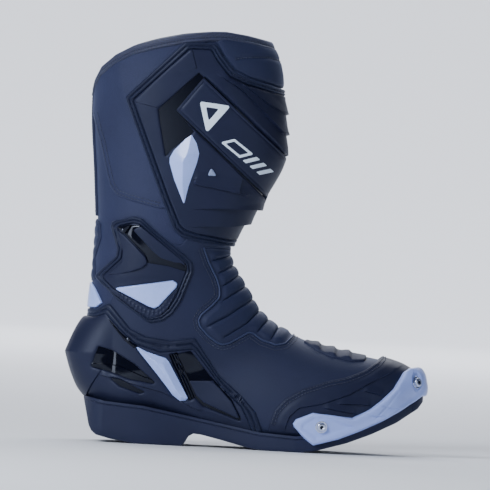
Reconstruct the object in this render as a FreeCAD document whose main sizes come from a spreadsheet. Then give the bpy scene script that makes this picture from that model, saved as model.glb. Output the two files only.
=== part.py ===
import FreeCAD, Part
import Sketcher
import math
import os

# A right-foot racing boot for motorcycle riding. Millimetres; +X towards the toe, +Y towards the inner side of the
# leg, +Z up. The origin is on the ground, under the middle of the boot. The boot stands on its heel and its ball.

Vector = FreeCAD.Vector
doc = FreeCAD.newDocument("riding_boot")
sheet = doc.addObject("Spreadsheet::Sheet", "Dimensions")
NODES = []

DIMENSIONS = {
    # layers of the upper, as distances outward from the leather's outer surface
    "leather_outside": 0.0,
    "leather_inside": -2.0,
    "padding_outside": -2.2,
    "padding_inside": -3.4,
    "lining_outside": -3.6,
    "lining_inside": -6.0,
    "footbed_outside": -6.2,
    "overlay_inside": 0.3,
    "thin_overlay": 2.3,
    "piping_outside": 3.4,
    "shell_outside": 3.8,
    "plate_outside": 4.6,
    "insert_outside": 5.2,
    "badge_inside": 4.7,
    "badge_outside": 5.3,
    "slider_inside": 2.5,
    "slider_outside": 6.0,
    # heights in the floor of the boot, above the bottom of the upper
    "board_top": 5.0,
    "footbed_bottom": 5.2,
    "footbed_top": 9.2,
    "sole_margin": 3.2,
    # the ankle's flex zone
    "flex_bottom": 86.0,
    "flex_top": 150.0,
    "body_gap": 0.3,
    # toe slider screws, washers and tee nuts
    "screw_radius": 2.0,
    "screw_length": 13.0,
    "head_radius": 4.2,
    "head_height": 2.6,
    "hex_flats": 2.5,
    "hex_depth": 1.6,
    "washer_radius": 5.2,
    "washer_height": 0.8,
    "screw_clearance": 0.25,
    "nut_radius": 3.0,
    "nut_flange": 6.0,
    "nut_flange_height": 1.0,
    "nut_length": 5.0,
    "nut_room_above": 2.0,
    "nut_room_below": 2.0,
    "thread_gap": 0.03,
    # steel shank in the sole's waist
    "shank_length": 82.0,
    "shank_width": 16.0,
    "shank_height": 1.8,
    "shank_rounding": 4.0,
    "shank_pocket_height": 12.0,
    # zip on the inner side, from its bottom stop to its top stop
    "zip_bottom_x": -70.5,
    "zip_bottom_y": 44.9,
    "zip_bottom_z": 178.0,
    "zip_top_x": -61.5,
    "zip_top_y": 57.5,
    "zip_top_z": 338.0,
    "zip_slot": 12.6,
    "tape_width": 3.4,
    "tape_height": 1.1,
    "tape_length": 164.0,
    "teeth_width": 4.4,
    "teeth_height": 2.1,
    "tooth_length": 1.5,
    "stop_width": 2.4,
    "stop_height": 2.6,
    "slider_width": 10.0,
    "bottom_stop_width": 8.0,
    "slider_length": 15.0,
    "slider_plate": 1.5,
    "slider_back": 1.1,
    "post_width": 1.6,
    "post_depth": 6.0,
    "post_height": 3.2,
    "ear_width": 1.2,
    "ear_inner_edge": 2.4,
    "ear_depth": 5.2,
    "ear_height": 4.0,
    "pull_length": 24.0,
    "pull_width": 8.4,
    "pull_thickness": 1.6,
    "neck_length": 3.0,
    "eye_radius": 2.4,
    "eye_length": 4.2,
    "pin_radius": 1.2,
    "pin_clearance": 0.1,
}
for row, (alias, value) in enumerate(DIMENSIONS.items(), start=1):
    sheet.set(f"A{row}", alias)
    sheet.set(f"B{row}", str(value))
    sheet.setAlias(f"B{row}", alias)
doc.recompute()


def size(alias):
    return float(sheet.get(alias))


# ---------------------------------------------------------------- the last: the leather's outer surface
# Each station is one closed section, in the plane that holds the Y axis and the line from its front to its back.
# front x, front z, back x, back z, half width, share of the line where it is widest, front roundness,
# back roundness (2 is an ellipse, more is boxier), and how far its middle lies towards the inner side.
STATIONS = [
    (-10, 372, -141, 338, 59.0, 0.50, 2.1, 2.1, 0),
    (10.5, 335, -141, 312, 56.5, 0.50, 2.1, 2.1, 0),
    (18, 300, -141, 285, 54.1, 0.50, 2.1, 2.1, 0),
    (20, 268, -139.5, 260, 51.8, 0.50, 2.1, 2.1, 0),
    (20, 247, -137, 236, 50.0, 0.50, 2.1, 2.1, 0),
    (12, 228, -135, 213, 48.4, 0.50, 2.1, 2.1, 0),
    (3, 212, -133.5, 193, 47.0, 0.50, 2.1, 2.1, 0),
    (-8, 195, -133.5, 172, 45.5, 0.50, 2.1, 2.1, 0),
    (-16, 178, -134, 151, 44.0, 0.50, 2.0, 2.1, 0),
    (-19.5, 162, -135, 131, 42.3, 0.50, 2.0, 2.1, 0),
    (-13, 148, -136.5, 108, 41.2, 0.48, 2.0, 2.2, 0),
    (-6, 137, -137.5, 76, 40.2, 0.46, 2.0, 2.3, 0),
    (0, 128, -134, 45, 39.8, 0.46, 2.0, 2.6, 0),
    (5, 119.5, -118, 31, 39.5, 0.50, 2.0, 3.4, 0),
    (12, 112.5, -85, 28.5, 39.2, 0.56, 2.0, 4.0, 0),
    (20, 106, -50, 22.5, 40.2, 0.62, 2.0, 4.0, -0.5),
    (30, 101, -18, 17, 43.2, 0.68, 2.0, 4.0, -1),
    (45, 94.5, 14, 11.5, 47.0, 0.74, 2.0, 4.0, -1.5),
    (65, 88.5, 44, 9.5, 48.6, 0.78, 2.1, 4.0, -1),
    (85, 84.3, 70, 11.5, 47.4, 0.78, 2.2, 4.0, 0.5),
    (105, 81.5, 94, 18.5, 43.2, 0.76, 2.3, 3.6, 3),
    (122, 77.5, 114, 28, 36.5, 0.70, 2.3, 3.2, 5.5),
    (136, 71, 130, 38, 27.0, 0.60, 2.2, 2.8, 8),
    (145, 63, 142, 47, 16.0, 0.50, 2.1, 2.3, 9.5),
    (148.6, 57, 147.6, 52.5, 6.5, 0.50, 2.0, 2.0, 10),
]
HEEL_BULGE = {10: 1.0, 11: 15.0, 12: 3.5}
# near the toe's tip an offset goes forward rather than outward: these are the shares of it, by station
OFFSET_FORWARD = {20: 0.1, 21: 0.3, 22: 0.6, 23: 0.9, 24: 1.0}
OFFSET_OUTWARD = {21: 0.95, 22: 0.8, 23: 0.55, 24: 0.2}
SECTION_STEPS = 12
HALF_SPACE = 95.0
SIDE_SPLIT = 1.0
LATERAL, MEDIAL, BOTH = "lateral", "medial", "both"


def section_points(index, offset, heel_bulge):
    """Points round a station's section, as it lies offset outside the leather."""
    fx, fz, bx, bz, half, widest, front_round, back_round, middle = STATIONS[index]
    outward = offset * OFFSET_OUTWARD.get(index, 1.0)
    forward = Vector(offset * OFFSET_FORWARD.get(index, 0.0), 0, 0)
    front, back = Vector(fx, 0, fz), Vector(bx, 0, bz)
    along = (front - back).normalize()
    front, back = front + along * outward + forward, back - along * (outward + heel_bulge) + forward
    points = []
    for step in range(2 * SECTION_STEPS):
        angle = math.pi * step / SECTION_STEPS
        c, s = math.cos(angle), math.sin(angle)
        power = 2.0 / (front_round if c >= 0 else back_round)
        run = abs(c) ** power
        share = widest * (1 - run) if c >= 0 else widest + (1 - widest) * run
        width = math.copysign((half + outward) * abs(s) ** power, -s)
        points.append(front + (back - front) * share + Vector(0, middle + width, 0))
    return points


def section_curve(index, offset, heel_bulge):
    points = section_points(index, offset, heel_bulge)
    curve = Part.BSplineCurve()
    curve.interpolate(Points=points, PeriodicFlag=True, Parameters=[i / len(points) for i in range(len(points) + 1)])
    return curve


def station_parameters():
    """Where each station comes along the last, by the distance between their middles."""
    middles = [Vector((s[0] + s[2]) / 2, 0, (s[1] + s[3]) / 2) for s in STATIONS]
    sums = [0.0]
    for a, b in zip(middles, middles[1:]):
        sums.append(sums[-1] + max((b - a).Length, 3.0) ** 0.8)
    return [value / sums[-1] for value in sums]


volumes = {}
layers = {}


def volume(offset, bulges=None):
    """The solid inside the surface that lies offset outside the leather."""
    bulges = bulges or {}
    key = (offset, tuple(bulges))
    if key not in volumes:
        curves = [section_curve(i, offset, bulges.get(i, 0.0)) for i in range(len(STATIONS))]
        columns = []
        for column in zip(*[curve.getPoles() for curve in curves]):
            rail = Part.BSplineCurve()
            rail.interpolate(Points=list(column), Parameters=station_parameters())
            columns.append(rail)
        around, up = curves[0], columns[0]
        skin = Part.BSplineSurface()
        skin.buildFromPolesMultsKnots([c.getPoles() for c in columns], around.getMultiplicities(),
                                      up.getMultiplicities(), around.getKnots(), up.getKnots(), True, False, 3, 3)
        ends = [Part.Face(Part.Wire(skin.vIso(v).toShape())) for v in (0, 1)]
        shell = Part.makeShell([skin.toShape(), *ends])
        shell.sewShape()
        volumes[key] = Part.makeSolid(shell)
        if volumes[key].Volume < 0:
            volumes[key].reverse()
    return volumes[key]


def layer(inside, outside):
    """The layer between two offsets, which are named in the sheet."""
    key = (inside, outside)
    if key not in layers:
        layers[key] = volume(size(outside)).cut(volume(size(inside)))
    return layers[key]


# ---------------------------------------------------------------- outlines in the side view
def rounded_wire(points, radius):
    """A closed outline in the XZ plane whose corners are arcs of the radius, or as large as fits."""
    corners = [Vector(x, 0, z) for x, z in points]
    edges, ends = [], []
    for i, corner in enumerate(corners):
        before, after = corners[i - 1] - corner, corners[(i + 1) % len(corners)] - corner
        angle = before.getAngle(after)
        cut = min(radius / max(math.tan(angle / 2), 1e-3), 0.42 * before.Length, 0.42 * after.Length)
        if radius <= 0 or abs(math.pi - angle) < 0.02:
            ends.append((corner, corner))
            continue
        start = corner + before.normalize() * cut
        finish = corner + after.normalize() * cut
        true_radius = cut * math.tan(angle / 2)
        to_centre = (start + finish) * 0.5 - corner
        gap = true_radius / math.sin(angle / 2) - true_radius
        edges.append(Part.Arc(start, corner + to_centre.normalize() * gap, finish).toShape())
        ends.append((start, finish))
    for i, (_, finish) in enumerate(ends):
        start = ends[(i + 1) % len(ends)][0]
        edges.append(Part.LineSegment(finish, start).toShape())
    return Part.Wire(Part.__sortEdges__(edges))


def swept(face, along):
    """The face carried along a straight line, as a solid that is the right way out."""
    solid = face.extrude(along)
    if solid.Volume < 0:
        solid.reverse()
    return solid


def prism(points, radius=0.0, side=BOTH):
    """The outline carried straight across the boot, or across one side of it."""
    low = SIDE_SPLIT if side == MEDIAL else -HALF_SPACE
    high = SIDE_SPLIT if side == LATERAL else HALF_SPACE
    face = Part.Face(rounded_wire(points, radius))
    face.translate(Vector(0, low, 0))
    return swept(face, Vector(0, high - low, 0))


def smooth_region(curve_points, closing_points):
    """A region bounded by one smooth curve and then by straight lines, carried across the boot."""
    curve = Part.BSplineCurve()
    curve.interpolate([Vector(x, 0, z) for x, z in curve_points])
    corners = [Vector(x, 0, z) for x, z in [curve_points[-1], *closing_points, curve_points[0]]]
    edges = [curve.toShape()]
    edges += [Part.LineSegment(a, b).toShape() for a, b in zip(corners, corners[1:])]
    face = Part.Face(Part.Wire(Part.__sortEdges__(edges)))
    face.translate(Vector(0, -HALF_SPACE, 0))
    return swept(face, Vector(0, 2 * HALF_SPACE, 0))


def feature(name, shape):
    """A sub-part whose shape is made here, because it follows the last's free-form surface."""
    solids = [s for s in shape.Solids if s.Volume > 1.0]
    made = doc.addObject("Part::Feature", name)
    made.Label = name
    made.Shape = solids[0] if len(solids) == 1 else Part.makeCompound(solids)
    NODES.append(made)
    return made


# rim of the collar, and the lower edge of its binding
RIM = [(-150, 285), (-141.5, 299), (-139.5, 308.5), (-134.5, 319), (-123.5, 329), (-109, 337), (-89, 343),
       (-66, 348.5), (-43, 352), (-31.5, 352.5), (-14, 350.5), (5, 347), (30, 338)]
BINDING = [(-150, 281), (-140, 298), (-128.5, 312.5), (-117.5, 322.5), (-102.5, 330), (-84.5, 337), (-71.5, 340.5),
           (-42.5, 344), (-31, 344.5), (-13.5, 343.5), (8, 339.5), (30, 333)]
below_rim = smooth_region(RIM, [(30, 0), (-150, 0)])
below_binding = smooth_region(BINDING, [(30, 0), (-150, 0)])

# the ankle's zone: the foot is under and in front of it, the shaft is over it
flex_low, flex_high, gap = size("flex_bottom"), size("flex_top"), size("body_gap")
foot_zone = prism([(-200, flex_low), (60, flex_low), (60, 140), (200, 140), (200, -20), (-200, -20)])
ankle_zone = prism([(-200, flex_low), (60, flex_low), (60, flex_high), (-200, flex_high)])
shaft_zone = prism([(-200, flex_high + gap), (60, flex_high + gap), (60, 400), (-200, 400)])
shaft_zone = shaft_zone.common(below_binding)

# the stretch panel over the instep, and the strip and the patch over the heel tendon
INSTEP = [(-42, 168.5), (-37, 155.5), (-30, 143), (-27, 135), (-26.5, 127), (-32, 120), (-40.5, 112), (-43, 107),
          (-41.5, 102), (-34, 94), (-25.5, 88), (-21.5, 87), (-15.5, 88.5), (0, 98), (3.5, 97.5), (12, 92),
          (23.5, 88.5), (31.5, 90), (37.5, 97), (40, 101), (48, 140), (0, 168.5)]
TENDON = [(-170, 191.5), (-135, 191.5), (-130, 183), (-129.5, 172), (-134, 155), (-133.5, 137), (-170, 137)]
PATCH = [(-170, 136.5), (-135, 136.5), (-132, 130), (-124.8, 117), (-129.5, 113.2), (-170, 112.6)]
instep_prism = prism(INSTEP, 2.0)
tendon_prism = prism(TENDON, 2.0)
patch_prism = prism(PATCH)

# ---------------------------------------------------------------- floor of the foot
FLOOR = [(-210, 33.5), *[(s[2], s[3]) for s in STATIONS[13:-1]], (210, 95)]
FLOOR_ROUNDING = 60.0


def under_floor(height):
    """Everything lower than the line that lies height above the bottom of the upper."""
    line = [(x, z + height) for x, z in FLOOR]
    return prism([*line, (210, -60), (-210, -60)], FLOOR_ROUNDING)


# ---------------------------------------------------------------- foot: leather, stiffeners and lining
leather = layer("leather_inside", "leather_outside")
padding = layer("padding_inside", "padding_outside")
lining = layer("lining_inside", "lining_outside")

VAMP_EDGE = [(-44, 91.5), (-38, 82), (-23, 61.5), (-2, 44.5), (9.5, 32.5), (19, 5)]
vamp_zone = prism([*VAMP_EDGE, (19, -20), (200, -20), (200, 140), (-44, 140)])
foot_leather = leather.common(foot_zone)
vamp = foot_leather.common(vamp_zone)
heel_quarter = foot_leather.cut(vamp_zone)
under_footbed = under_floor(size("footbed_bottom"))
foot_padding = padding.common(foot_zone).cut(under_footbed)
toe_puff = foot_padding.common(prism([(96, -20), (200, -20), (200, 140), (90, 140)]))
heel_counter = foot_padding.common(prism([(-200, -20), (-58, -20), (-70, 83), (-200, 83)], 8.0))
foot_lining = lining.common(foot_zone).cut(under_footbed)

insole_board = volume(size("padding_outside")).common(under_floor(size("board_top")))
footbed = volume(size("footbed_outside")).common(under_floor(size("footbed_top"))).cut(under_footbed)

# ---------------------------------------------------------------- ankle: the parts that flex
ankle_leather = leather.common(ankle_zone).cut(instep_prism).cut(tendon_prism).cut(patch_prism)
flex_layer = volume(1.2).cut(volume(size("leather_inside")))
instep_flex_panel = flex_layer.common(instep_prism)
tendon_flex_panel = flex_layer.common(tendon_prism)
achilles_patch = flex_layer.common(patch_prism)
ankle_lining = volume(size("padding_outside")).cut(volume(size("lining_inside"))).common(ankle_zone)

# ---------------------------------------------------------------- outsole with its heel and tread
SOLE_SIDE = [(-137, 37), (-134.5, 27.5), (-131, 13.5), (-124.5, 6), (-112, 3), (-92, 0), (-51.5, 0), (-49, 3),
             (-46, 8.5), (-42, 11), (-35.5, 10.5), (-14.5, 6), (6, 1.2), (15, 0), (48, 0), (60, 1.6),
             (87, 9.5),
             (108, 18), (129, 28.5), (147, 41), (152, 48)]
SOLE_TOP = [(152, 58), (142, 51), (130, 42), (114, 32), (94, 22), (70, 15), (44, 12.8), (14, 14.5), (-18, 20),
            (-50, 25.5), (-85, 31.5), (-118, 34), (-131, 36.5)]
sole_block = prism([*SOLE_SIDE, *SOLE_TOP])


def sole_plan():
    """The sole seen from above, a margin wider than the upper all the way round."""
    margin = size("sole_margin")
    wide = {-118: 36.5, -85: 38.4, -50: 36.0, -18: 37.5, 14: 43.5, 44: 47.8, 70: 47.2, 94: 43.4, 114: 37.0,
            130: 28.5, 142: 18.5}
    middle = {station[2]: station[8] for station in STATIONS}
    outer = [Vector(x, middle[x] - w - margin, 0) for x, w in wide.items()]
    inner = [Vector(x, middle[x] + w + margin, 0) for x, w in reversed(wide.items())]
    curve = Part.BSplineCurve()
    heel = [Vector(-133, 20, 0), Vector(-137, 0, 0), Vector(-133, -20, 0)]
    curve.interpolate(Points=[*heel, *outer, Vector(151.5, 10, 0), *inner], PeriodicFlag=True)
    face = Part.Face(Part.Wire(curve.toShape()))
    face.translate(Vector(0, 0, -20))
    return swept(face, Vector(0, 0, 120))


TREAD_DEPTH, TREAD_WIDTH = 2.2, 3.0
TREAD = [(-112, -58, 9), (8, 78, 10)]


def tread_grooves():
    """Grooves across the heel and the ball, each a little way up into the rubber."""
    grooves = []
    for first, last, pitch in TREAD:
        for i in range(int((last - first) / pitch) + 1):
            x = first + i * pitch
            rise = max(0.0, 0.0016 * max(0.0, x - 48) ** 2 + 0.09 * max(0.0, x - 48))
            rise += max(0.0, 0.13 * (-92 - x))
            block = Part.makeBox(TREAD_WIDTH, 120, TREAD_DEPTH + 4, Vector(x, -60, rise - 4))
            grooves.append(block)
    keep = Part.makeBox(240, 50, 40, Vector(-130, -25, -10))
    return Part.makeCompound(grooves).common(keep)


outsole = sole_block.common(sole_plan()).cut(volume(size("overlay_inside")))
outsole = outsole.cut(tread_grooves())

# ---------------------------------------------------------------- heel cup
HEEL_CUP = [(-137, 105.5), (-147.5, 93.5), (-155, 74.5), (-150, 62.5), (-138, 40), (-131, 36.8), (-113.5, 34),
            (-85, 31.8), (-50, 25.8), (-18, 20.3), (10, 15.2), (-2, 36), (-20, 52), (-33, 68), (-45, 82.5),
            (-72.5, 78.5), (-94.5, 84.5), (-108, 96.5), (-120, 109), (-128, 105.5)]
HEEL_PIPING = [(-160, 111.5), (-128, 112), (-123, 115), (-119.5, 117), (-116, 115.5), (-99.5, 97), (-86, 91),
               (-64.5, 88.5), (-45, 92), (-38, 82), (-23, 61.5), (-2, 44.5), (9.5, 32.5), (18, 17),
               (10, 15.2),
               (-2, 36), (-20, 52), (-33, 68), (-45, 82.5), (-72.5, 78.5), (-94.5, 84.5), (-108, 96.5),
               (-120, 109),
               (-128, 105.5), (-160, 105.5)]
HEEL_WHITE = [(-95, 83), (-84.5, 78), (-68.5, 73.5), (-65.5, 70.5), (-58.5, 58.5), (-48, 41), (-49.5, 39),
              (-54.5, 38.5), (-61, 43), (-75, 59.5), (-89.5, 76)]
HEEL_GLOSS_UP = [(-122, 80.5), (-113.5, 77.5), (-94.5, 67), (-75.5, 51.5), (-97.5, 54.5), (-125.5, 63.5)]
HEEL_GLOSS_LOW = [(-114, 54.5), (-106, 53.5), (-84.5, 44), (-89.5, 43), (-105.5, 48)]
QUARTER_GLOSS = [(-59, 77), (-48, 80.5), (-31, 61), (-11, 41), (-1, 24), (-34.5, 35), (-41.5, 41.5), (-48, 56)]
heel_outside = volume(size("shell_outside"), HEEL_BULGE)
heel_layer = heel_outside.cut(volume(size("overlay_inside")))
heel_cup = heel_layer.common(prism(HEEL_CUP, 1.5))
inserts = {}
for name, points, radius, outside in (
    ("heel_white_inserts", HEEL_WHITE, 1.5, "plate_outside"),
    ("heel_upper_gloss_inserts", HEEL_GLOSS_UP, 2.0, "piping_outside"),
    ("heel_lower_gloss_inserts", HEEL_GLOSS_LOW, 1.5, "piping_outside"),
    ("quarter_gloss_panels", QUARTER_GLOSS, 2.0, "piping_outside"),
):
    cutter = prism(points, radius)
    inserts[name] = volume(size(outside)).cut(volume(size("overlay_inside"))).common(cutter)
    heel_cup = heel_cup.cut(cutter)
heel_piping = layer("overlay_inside", "piping_outside").common(prism(HEEL_PIPING, 1.5))

# ---------------------------------------------------------------- toe: rand, slider, shift pad
TOE_RAND = [(20, 18), (22, 23.5), (25.5, 34.5), (34, 44.5), (47.5, 53), (68, 60.5), (84, 64.5), (101, 71),
            (109.5, 75.5), (113.5, 82.5), (125, 110), (200, 90), (200, 66), (152, 60.8), (142, 52.6),
            (130, 43.6),
            (114, 33.6), (94, 23.5), (70, 16.4), (44, 14.3), (30, 15.3)]
TOE_SLIDER = [(40.5, 24), (58, 35.5), (92.5, 30.5), (102.5, 36.5), (115, 46.5), (126.5, 58), (132.5, 69),
              (137.5, 76), (143, 79), (165, 78), (165, 58), (151, 50.5), (139.5, 41.5), (118, 30), (97, 18.5),
              (76, 8.5), (61, 5), (56.5, 6), (40.5, 21.5)]
SHIFT_PAD = [(46.5, 105), (47, 96), (50, 91), (59, 85), (72, 80), (89.5, 77.5), (99.5, 78.5), (101, 80.5), (99, 95)]
toe_rand = layer("overlay_inside", "thin_overlay").common(prism(TOE_RAND, 3.0))
slider_prism = prism(TOE_SLIDER, 2.0)
slider_prism.translate(Vector(0, -HALF_SPACE + STATIONS[-1][8], 0))
slider_zone = slider_prism.cut(volume(size("slider_inside")))
toe_slider = slider_zone.common(volume(size("slider_outside")))
outsole = outsole.cut(slider_zone)
shift_pad = layer("overlay_inside", "shell_outside").common(prism(SHIFT_PAD, 3.0))

SCREWS = [(65.5, 22.5), (140.5, 62.0)]


def surface_point(solid, x, z):
    """Where a line across the boot first meets the solid on its outer side."""
    line = Part.makeLine(Vector(x, -HALF_SPACE, z), Vector(x, STATIONS[-1][8], z))
    return min((v.Point for v in solid.common(line).Vertexes), key=lambda p: p.y)


def surface_normal(solid, x, z, step=1.5):
    dx = surface_point(solid, x + step, z) - surface_point(solid, x - step, z)
    dz = surface_point(solid, x, z + step) - surface_point(solid, x, z - step)
    normal = dx.cross(dz).normalize()
    return normal if normal.y < 0 else normal * -1


def primitive(kind, name, placement, **sizes):
    """A Part primitive whose sizes are expressions in the sheet's names."""
    made = doc.addObject(kind, name)
    for key, text in sizes.items():
        made.setExpression(key, text)
    made.Placement = placement
    return made


def facing(point, direction):
    return FreeCAD.Placement(point, FreeCAD.Rotation(Vector(0, 0, 1), direction))


def fused(name, *parts):
    made = doc.addObject("Part::MultiFuse", name)
    made.Shapes = list(parts)
    return made


def cut_by(name, base, tool):
    made = doc.addObject("Part::Cut", name)
    made.Base, made.Tool = base, tool
    return made


def group(name, *parts):
    made = doc.addObject("Part::Compound", name)
    made.Links = list(parts)
    return made


def as_node(made, name):
    made.Label = name
    NODES.append(made)


WASHER_SEAT, NUT_DEPTH, BORE_REACH = 1.4, 4.2, 20.0
screws, washers, nuts = [], [], []
for number, (x, z) in enumerate(SCREWS, start=1):
    point, outward = surface_point(toe_slider, x, z), surface_normal(toe_slider, x, z)
    inward = outward * -1
    seat = point + inward * WASHER_SEAT
    under_head = seat + outward * size("washer_height")
    head_top = under_head + outward * size("head_height")
    nut_top = point + inward * NUT_DEPTH
    nut_foot = nut_top + inward * size("nut_length")

    head = primitive("Part::Cylinder", f"head_{number}", facing(under_head, outward),
                     Radius="Dimensions.head_radius", Height="Dimensions.head_height")
    shaft = primitive("Part::Cylinder", f"thread_{number}", facing(under_head, inward),
                      Radius="Dimensions.screw_radius", Height="Dimensions.screw_length")
    socket = primitive("Part::Prism", f"socket_{number}", facing(head_top, inward),
                       Circumradius="Dimensions.hex_flats / sqrt(3)", Height="Dimensions.hex_depth")
    screws.append(cut_by(f"screw_{number}", fused(f"screw_solid_{number}", head, shaft), socket))

    disc = primitive("Part::Cylinder", f"disc_{number}", facing(seat, outward),
                     Radius="Dimensions.washer_radius", Height="Dimensions.washer_height")
    bore = primitive("Part::Cylinder", f"washer_bore_{number}", facing(seat, outward),
                     Radius="Dimensions.screw_radius + Dimensions.screw_clearance", Height="Dimensions.washer_height")
    washers.append(cut_by(f"washer_{number}", disc, bore))

    barrel = primitive("Part::Cylinder", f"barrel_{number}", facing(nut_top, inward),
                       Radius="Dimensions.nut_radius", Height="Dimensions.nut_length")
    flange = primitive("Part::Cylinder", f"flange_{number}", facing(nut_foot, inward),
                       Radius="Dimensions.nut_flange", Height="Dimensions.nut_flange_height")
    thread = primitive("Part::Cylinder", f"nut_bore_{number}", facing(nut_top, inward),
                       Radius="Dimensions.screw_radius + Dimensions.thread_gap",
                       Height="Dimensions.nut_length + Dimensions.nut_flange_height")
    nut_solid = fused(f"nut_solid_{number}", barrel, flange)
    nuts.append(cut_by(f"nut_{number}", nut_solid, thread))
    doc.recompute()

    clearance = size("screw_clearance")
    hole = Part.makeCylinder(size("screw_radius") + clearance, 2 * BORE_REACH, point + outward * BORE_REACH, inward)
    recess = Part.makeCylinder(size("washer_radius") + clearance, BORE_REACH, seat, outward)
    barrel_room = Part.makeCylinder(size("nut_radius") + clearance, size("nut_length") + size("nut_room_above"),
                                    nut_top + outward, inward)
    flange_room = Part.makeCylinder(size("nut_flange") + clearance, size("nut_room_below"), nut_foot + outward * 0.3,
                                    inward)
    room = barrel_room.fuse(flange_room).fuse(hole)
    toe_slider = toe_slider.cut(hole).cut(recess)
    toe_rand, vamp, toe_puff = toe_rand.cut(room), vamp.cut(room), toe_puff.cut(room)
    foot_lining, outsole, insole_board = foot_lining.cut(room), outsole.cut(room), insole_board.cut(room)
    footbed = footbed.cut(room)
as_node(group("screws", *screws), "toe_slider_screws")
as_node(group("washers", *washers), "toe_slider_washers")
as_node(group("tee_nuts", *nuts), "toe_slider_tee_nuts")


# ---------------------------------------------------------------- shank in the sole
def rectangle_body(name, across, along, thickness, rounding):
    """A flat plate centred on its own origin, drawn as a sketch, padded and rounded at its corners."""
    body = doc.addObject("PartDesign::Body", name)
    sketch = body.newObject("Sketcher::SketchObject", f"{name}_sketch")
    half_a, half_b = size(across) / 2, size(along) / 2
    corners = [Vector(-half_a, -half_b, 0), Vector(half_a, -half_b, 0), Vector(half_a, half_b, 0),
               Vector(-half_a, half_b, 0)]
    sides = [Part.LineSegment(corners[i], corners[(i + 1) % 4]) for i in range(4)]
    sketch.addGeometry(sides, False)
    for i in range(4):
        sketch.addConstraint(Sketcher.Constraint("Coincident", i, 2, (i + 1) % 4, 1))
    for i in (0, 2):
        sketch.addConstraint(Sketcher.Constraint("Horizontal", i))
    for i in (1, 3):
        sketch.addConstraint(Sketcher.Constraint("Vertical", i))
    sketch.addConstraint(Sketcher.Constraint("Symmetric", 0, 1, 2, 1, -1, 1))
    width = sketch.addConstraint(Sketcher.Constraint("DistanceX", 0, 1, 0, 2, size(across)))
    length = sketch.addConstraint(Sketcher.Constraint("DistanceY", 1, 1, 1, 2, size(along)))
    sketch.renameConstraint(width, "across")
    sketch.renameConstraint(length, "along")
    sketch.setExpression("Constraints.across", f"Dimensions.{across}")
    sketch.setExpression("Constraints.along", f"Dimensions.{along}")
    pad = body.newObject("PartDesign::Pad", f"{name}_pad")
    pad.Profile = sketch
    pad.setExpression("Length", f"Dimensions.{thickness}")
    doc.recompute()
    upright = [f"Edge{i}" for i, edge in enumerate(pad.Shape.Edges, start=1)
               if abs(edge.Vertexes[0].Z - edge.Vertexes[-1].Z) > 0.1]
    fillet = body.newObject("PartDesign::Fillet", f"{name}_fillet")
    fillet.Base = (pad, upright)
    fillet.Radius = rounding
    return body


SHANK_AT, SHANK_TILT, POCKET_GAP = Vector(-22.5, 0, 15.0), 9.75, 0.3
shank = rectangle_body("shank", "shank_length", "shank_width", "shank_height", size("shank_rounding"))
shank.Placement = FreeCAD.Placement(SHANK_AT, FreeCAD.Rotation(Vector(0, 1, 0), SHANK_TILT))
doc.recompute()
as_node(shank, "shank")
pocket_length, pocket_width = size("shank_length") + 2 * POCKET_GAP, size("shank_width") + 2 * POCKET_GAP
pocket = Part.makeBox(pocket_length, pocket_width, size("shank_pocket_height"))
pocket.translate(Vector(-pocket_length / 2, -pocket_width / 2, -POCKET_GAP))
pocket.Placement = shank.Placement.multiply(pocket.Placement)
outsole = outsole.cut(pocket)

# ---------------------------------------------------------------- shin plate and its panels
SHIN_OUTER = [(-66, 340.5), (-41, 340.5), (-33.5, 329.5), (-23.5, 318), (-11.5, 312.5), (18.5, 305.5), (60, 300),
              (60, 168), (-12.5, 171.5), (-23, 170.5), (-51, 174), (-61.5, 177), (-67.5, 182), (-78.5, 207),
              (-113.5, 292)]
SHIN_INNER = [(-62, 335), (-44, 335.5), (-38, 326), (-27, 313.5), (-13.5, 307.5), (18, 300.5), (60, 296), (60, 178),
              (-12.5, 177.5), (-23, 176.5), (-50, 180), (-58.5, 182.5), (-63, 186.5), (-73, 208.5),
              (-106.5, 290)]
SHIN_INNER_MEDIAL = [(-22, 310), (-13.5, 307.5), (18, 300.5), (60, 296), (60, 178), (-12.5, 177.5), (-30, 180),
                     (-24, 210), (-22, 280)]
SHIN_OUTER_MEDIAL = [(-24, 317.5), (-11.5, 312.5), (18.5, 305.5), (60, 300), (60, 168), (-12.5, 171.5), (-36, 174),
                     (-30, 210), (-28, 280)]
BANNER = [(-49, 311.5), (23, 247), (40, 232), (40, 205), (13, 221), (6.5, 215.5), (-70.5, 283)]
SHIN_GLOSS = [(-53, 315), (-85, 283), (-83.5, 274), (-77, 244), (-72.5, 249.5), (-61.5, 259.5), (-56.5, 263.5),
              (-55, 266), (-70.5, 283), (-49, 311.5)]
SHIN_DIAMOND = [(-56.5, 263), (-52, 256), (-49.5, 247.5), (-51, 239.5), (-57, 219.5), (-60, 204), (-69, 224.5),
                (-73.5, 238.5), (-73.5, 243), (-70.5, 249), (-61.5, 259)]
SHIN_VENT = [(-39, 236.5), (-34, 229.5), (-42, 229.5)]
KNEE_PANEL = [(-39.6, 341), (-32.6, 330.6), (-22.9, 319.2), (-11.2, 313.8), (19, 306.8), (60, 301.5), (60, 360),
              (-39.6, 360)]
shin_prism = prism(SHIN_INNER, 3.0, LATERAL).fuse(prism(SHIN_INNER_MEDIAL, 3.0, MEDIAL))
shin_border = prism(SHIN_OUTER, 3.0, LATERAL).fuse(prism(SHIN_OUTER_MEDIAL, 3.0, MEDIAL))
banner_prism = prism(BANNER, 2.0, LATERAL)
gloss_prism = prism(SHIN_GLOSS, 0.8, LATERAL).cut(banner_prism)
diamond_prism = prism(SHIN_DIAMOND, 0.8, LATERAL)
vent_prism = prism(SHIN_VENT, 1.2, LATERAL)
shin_layer = layer("overlay_inside", "plate_outside")
shin_plate = shin_layer.common(shin_prism)
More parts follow.
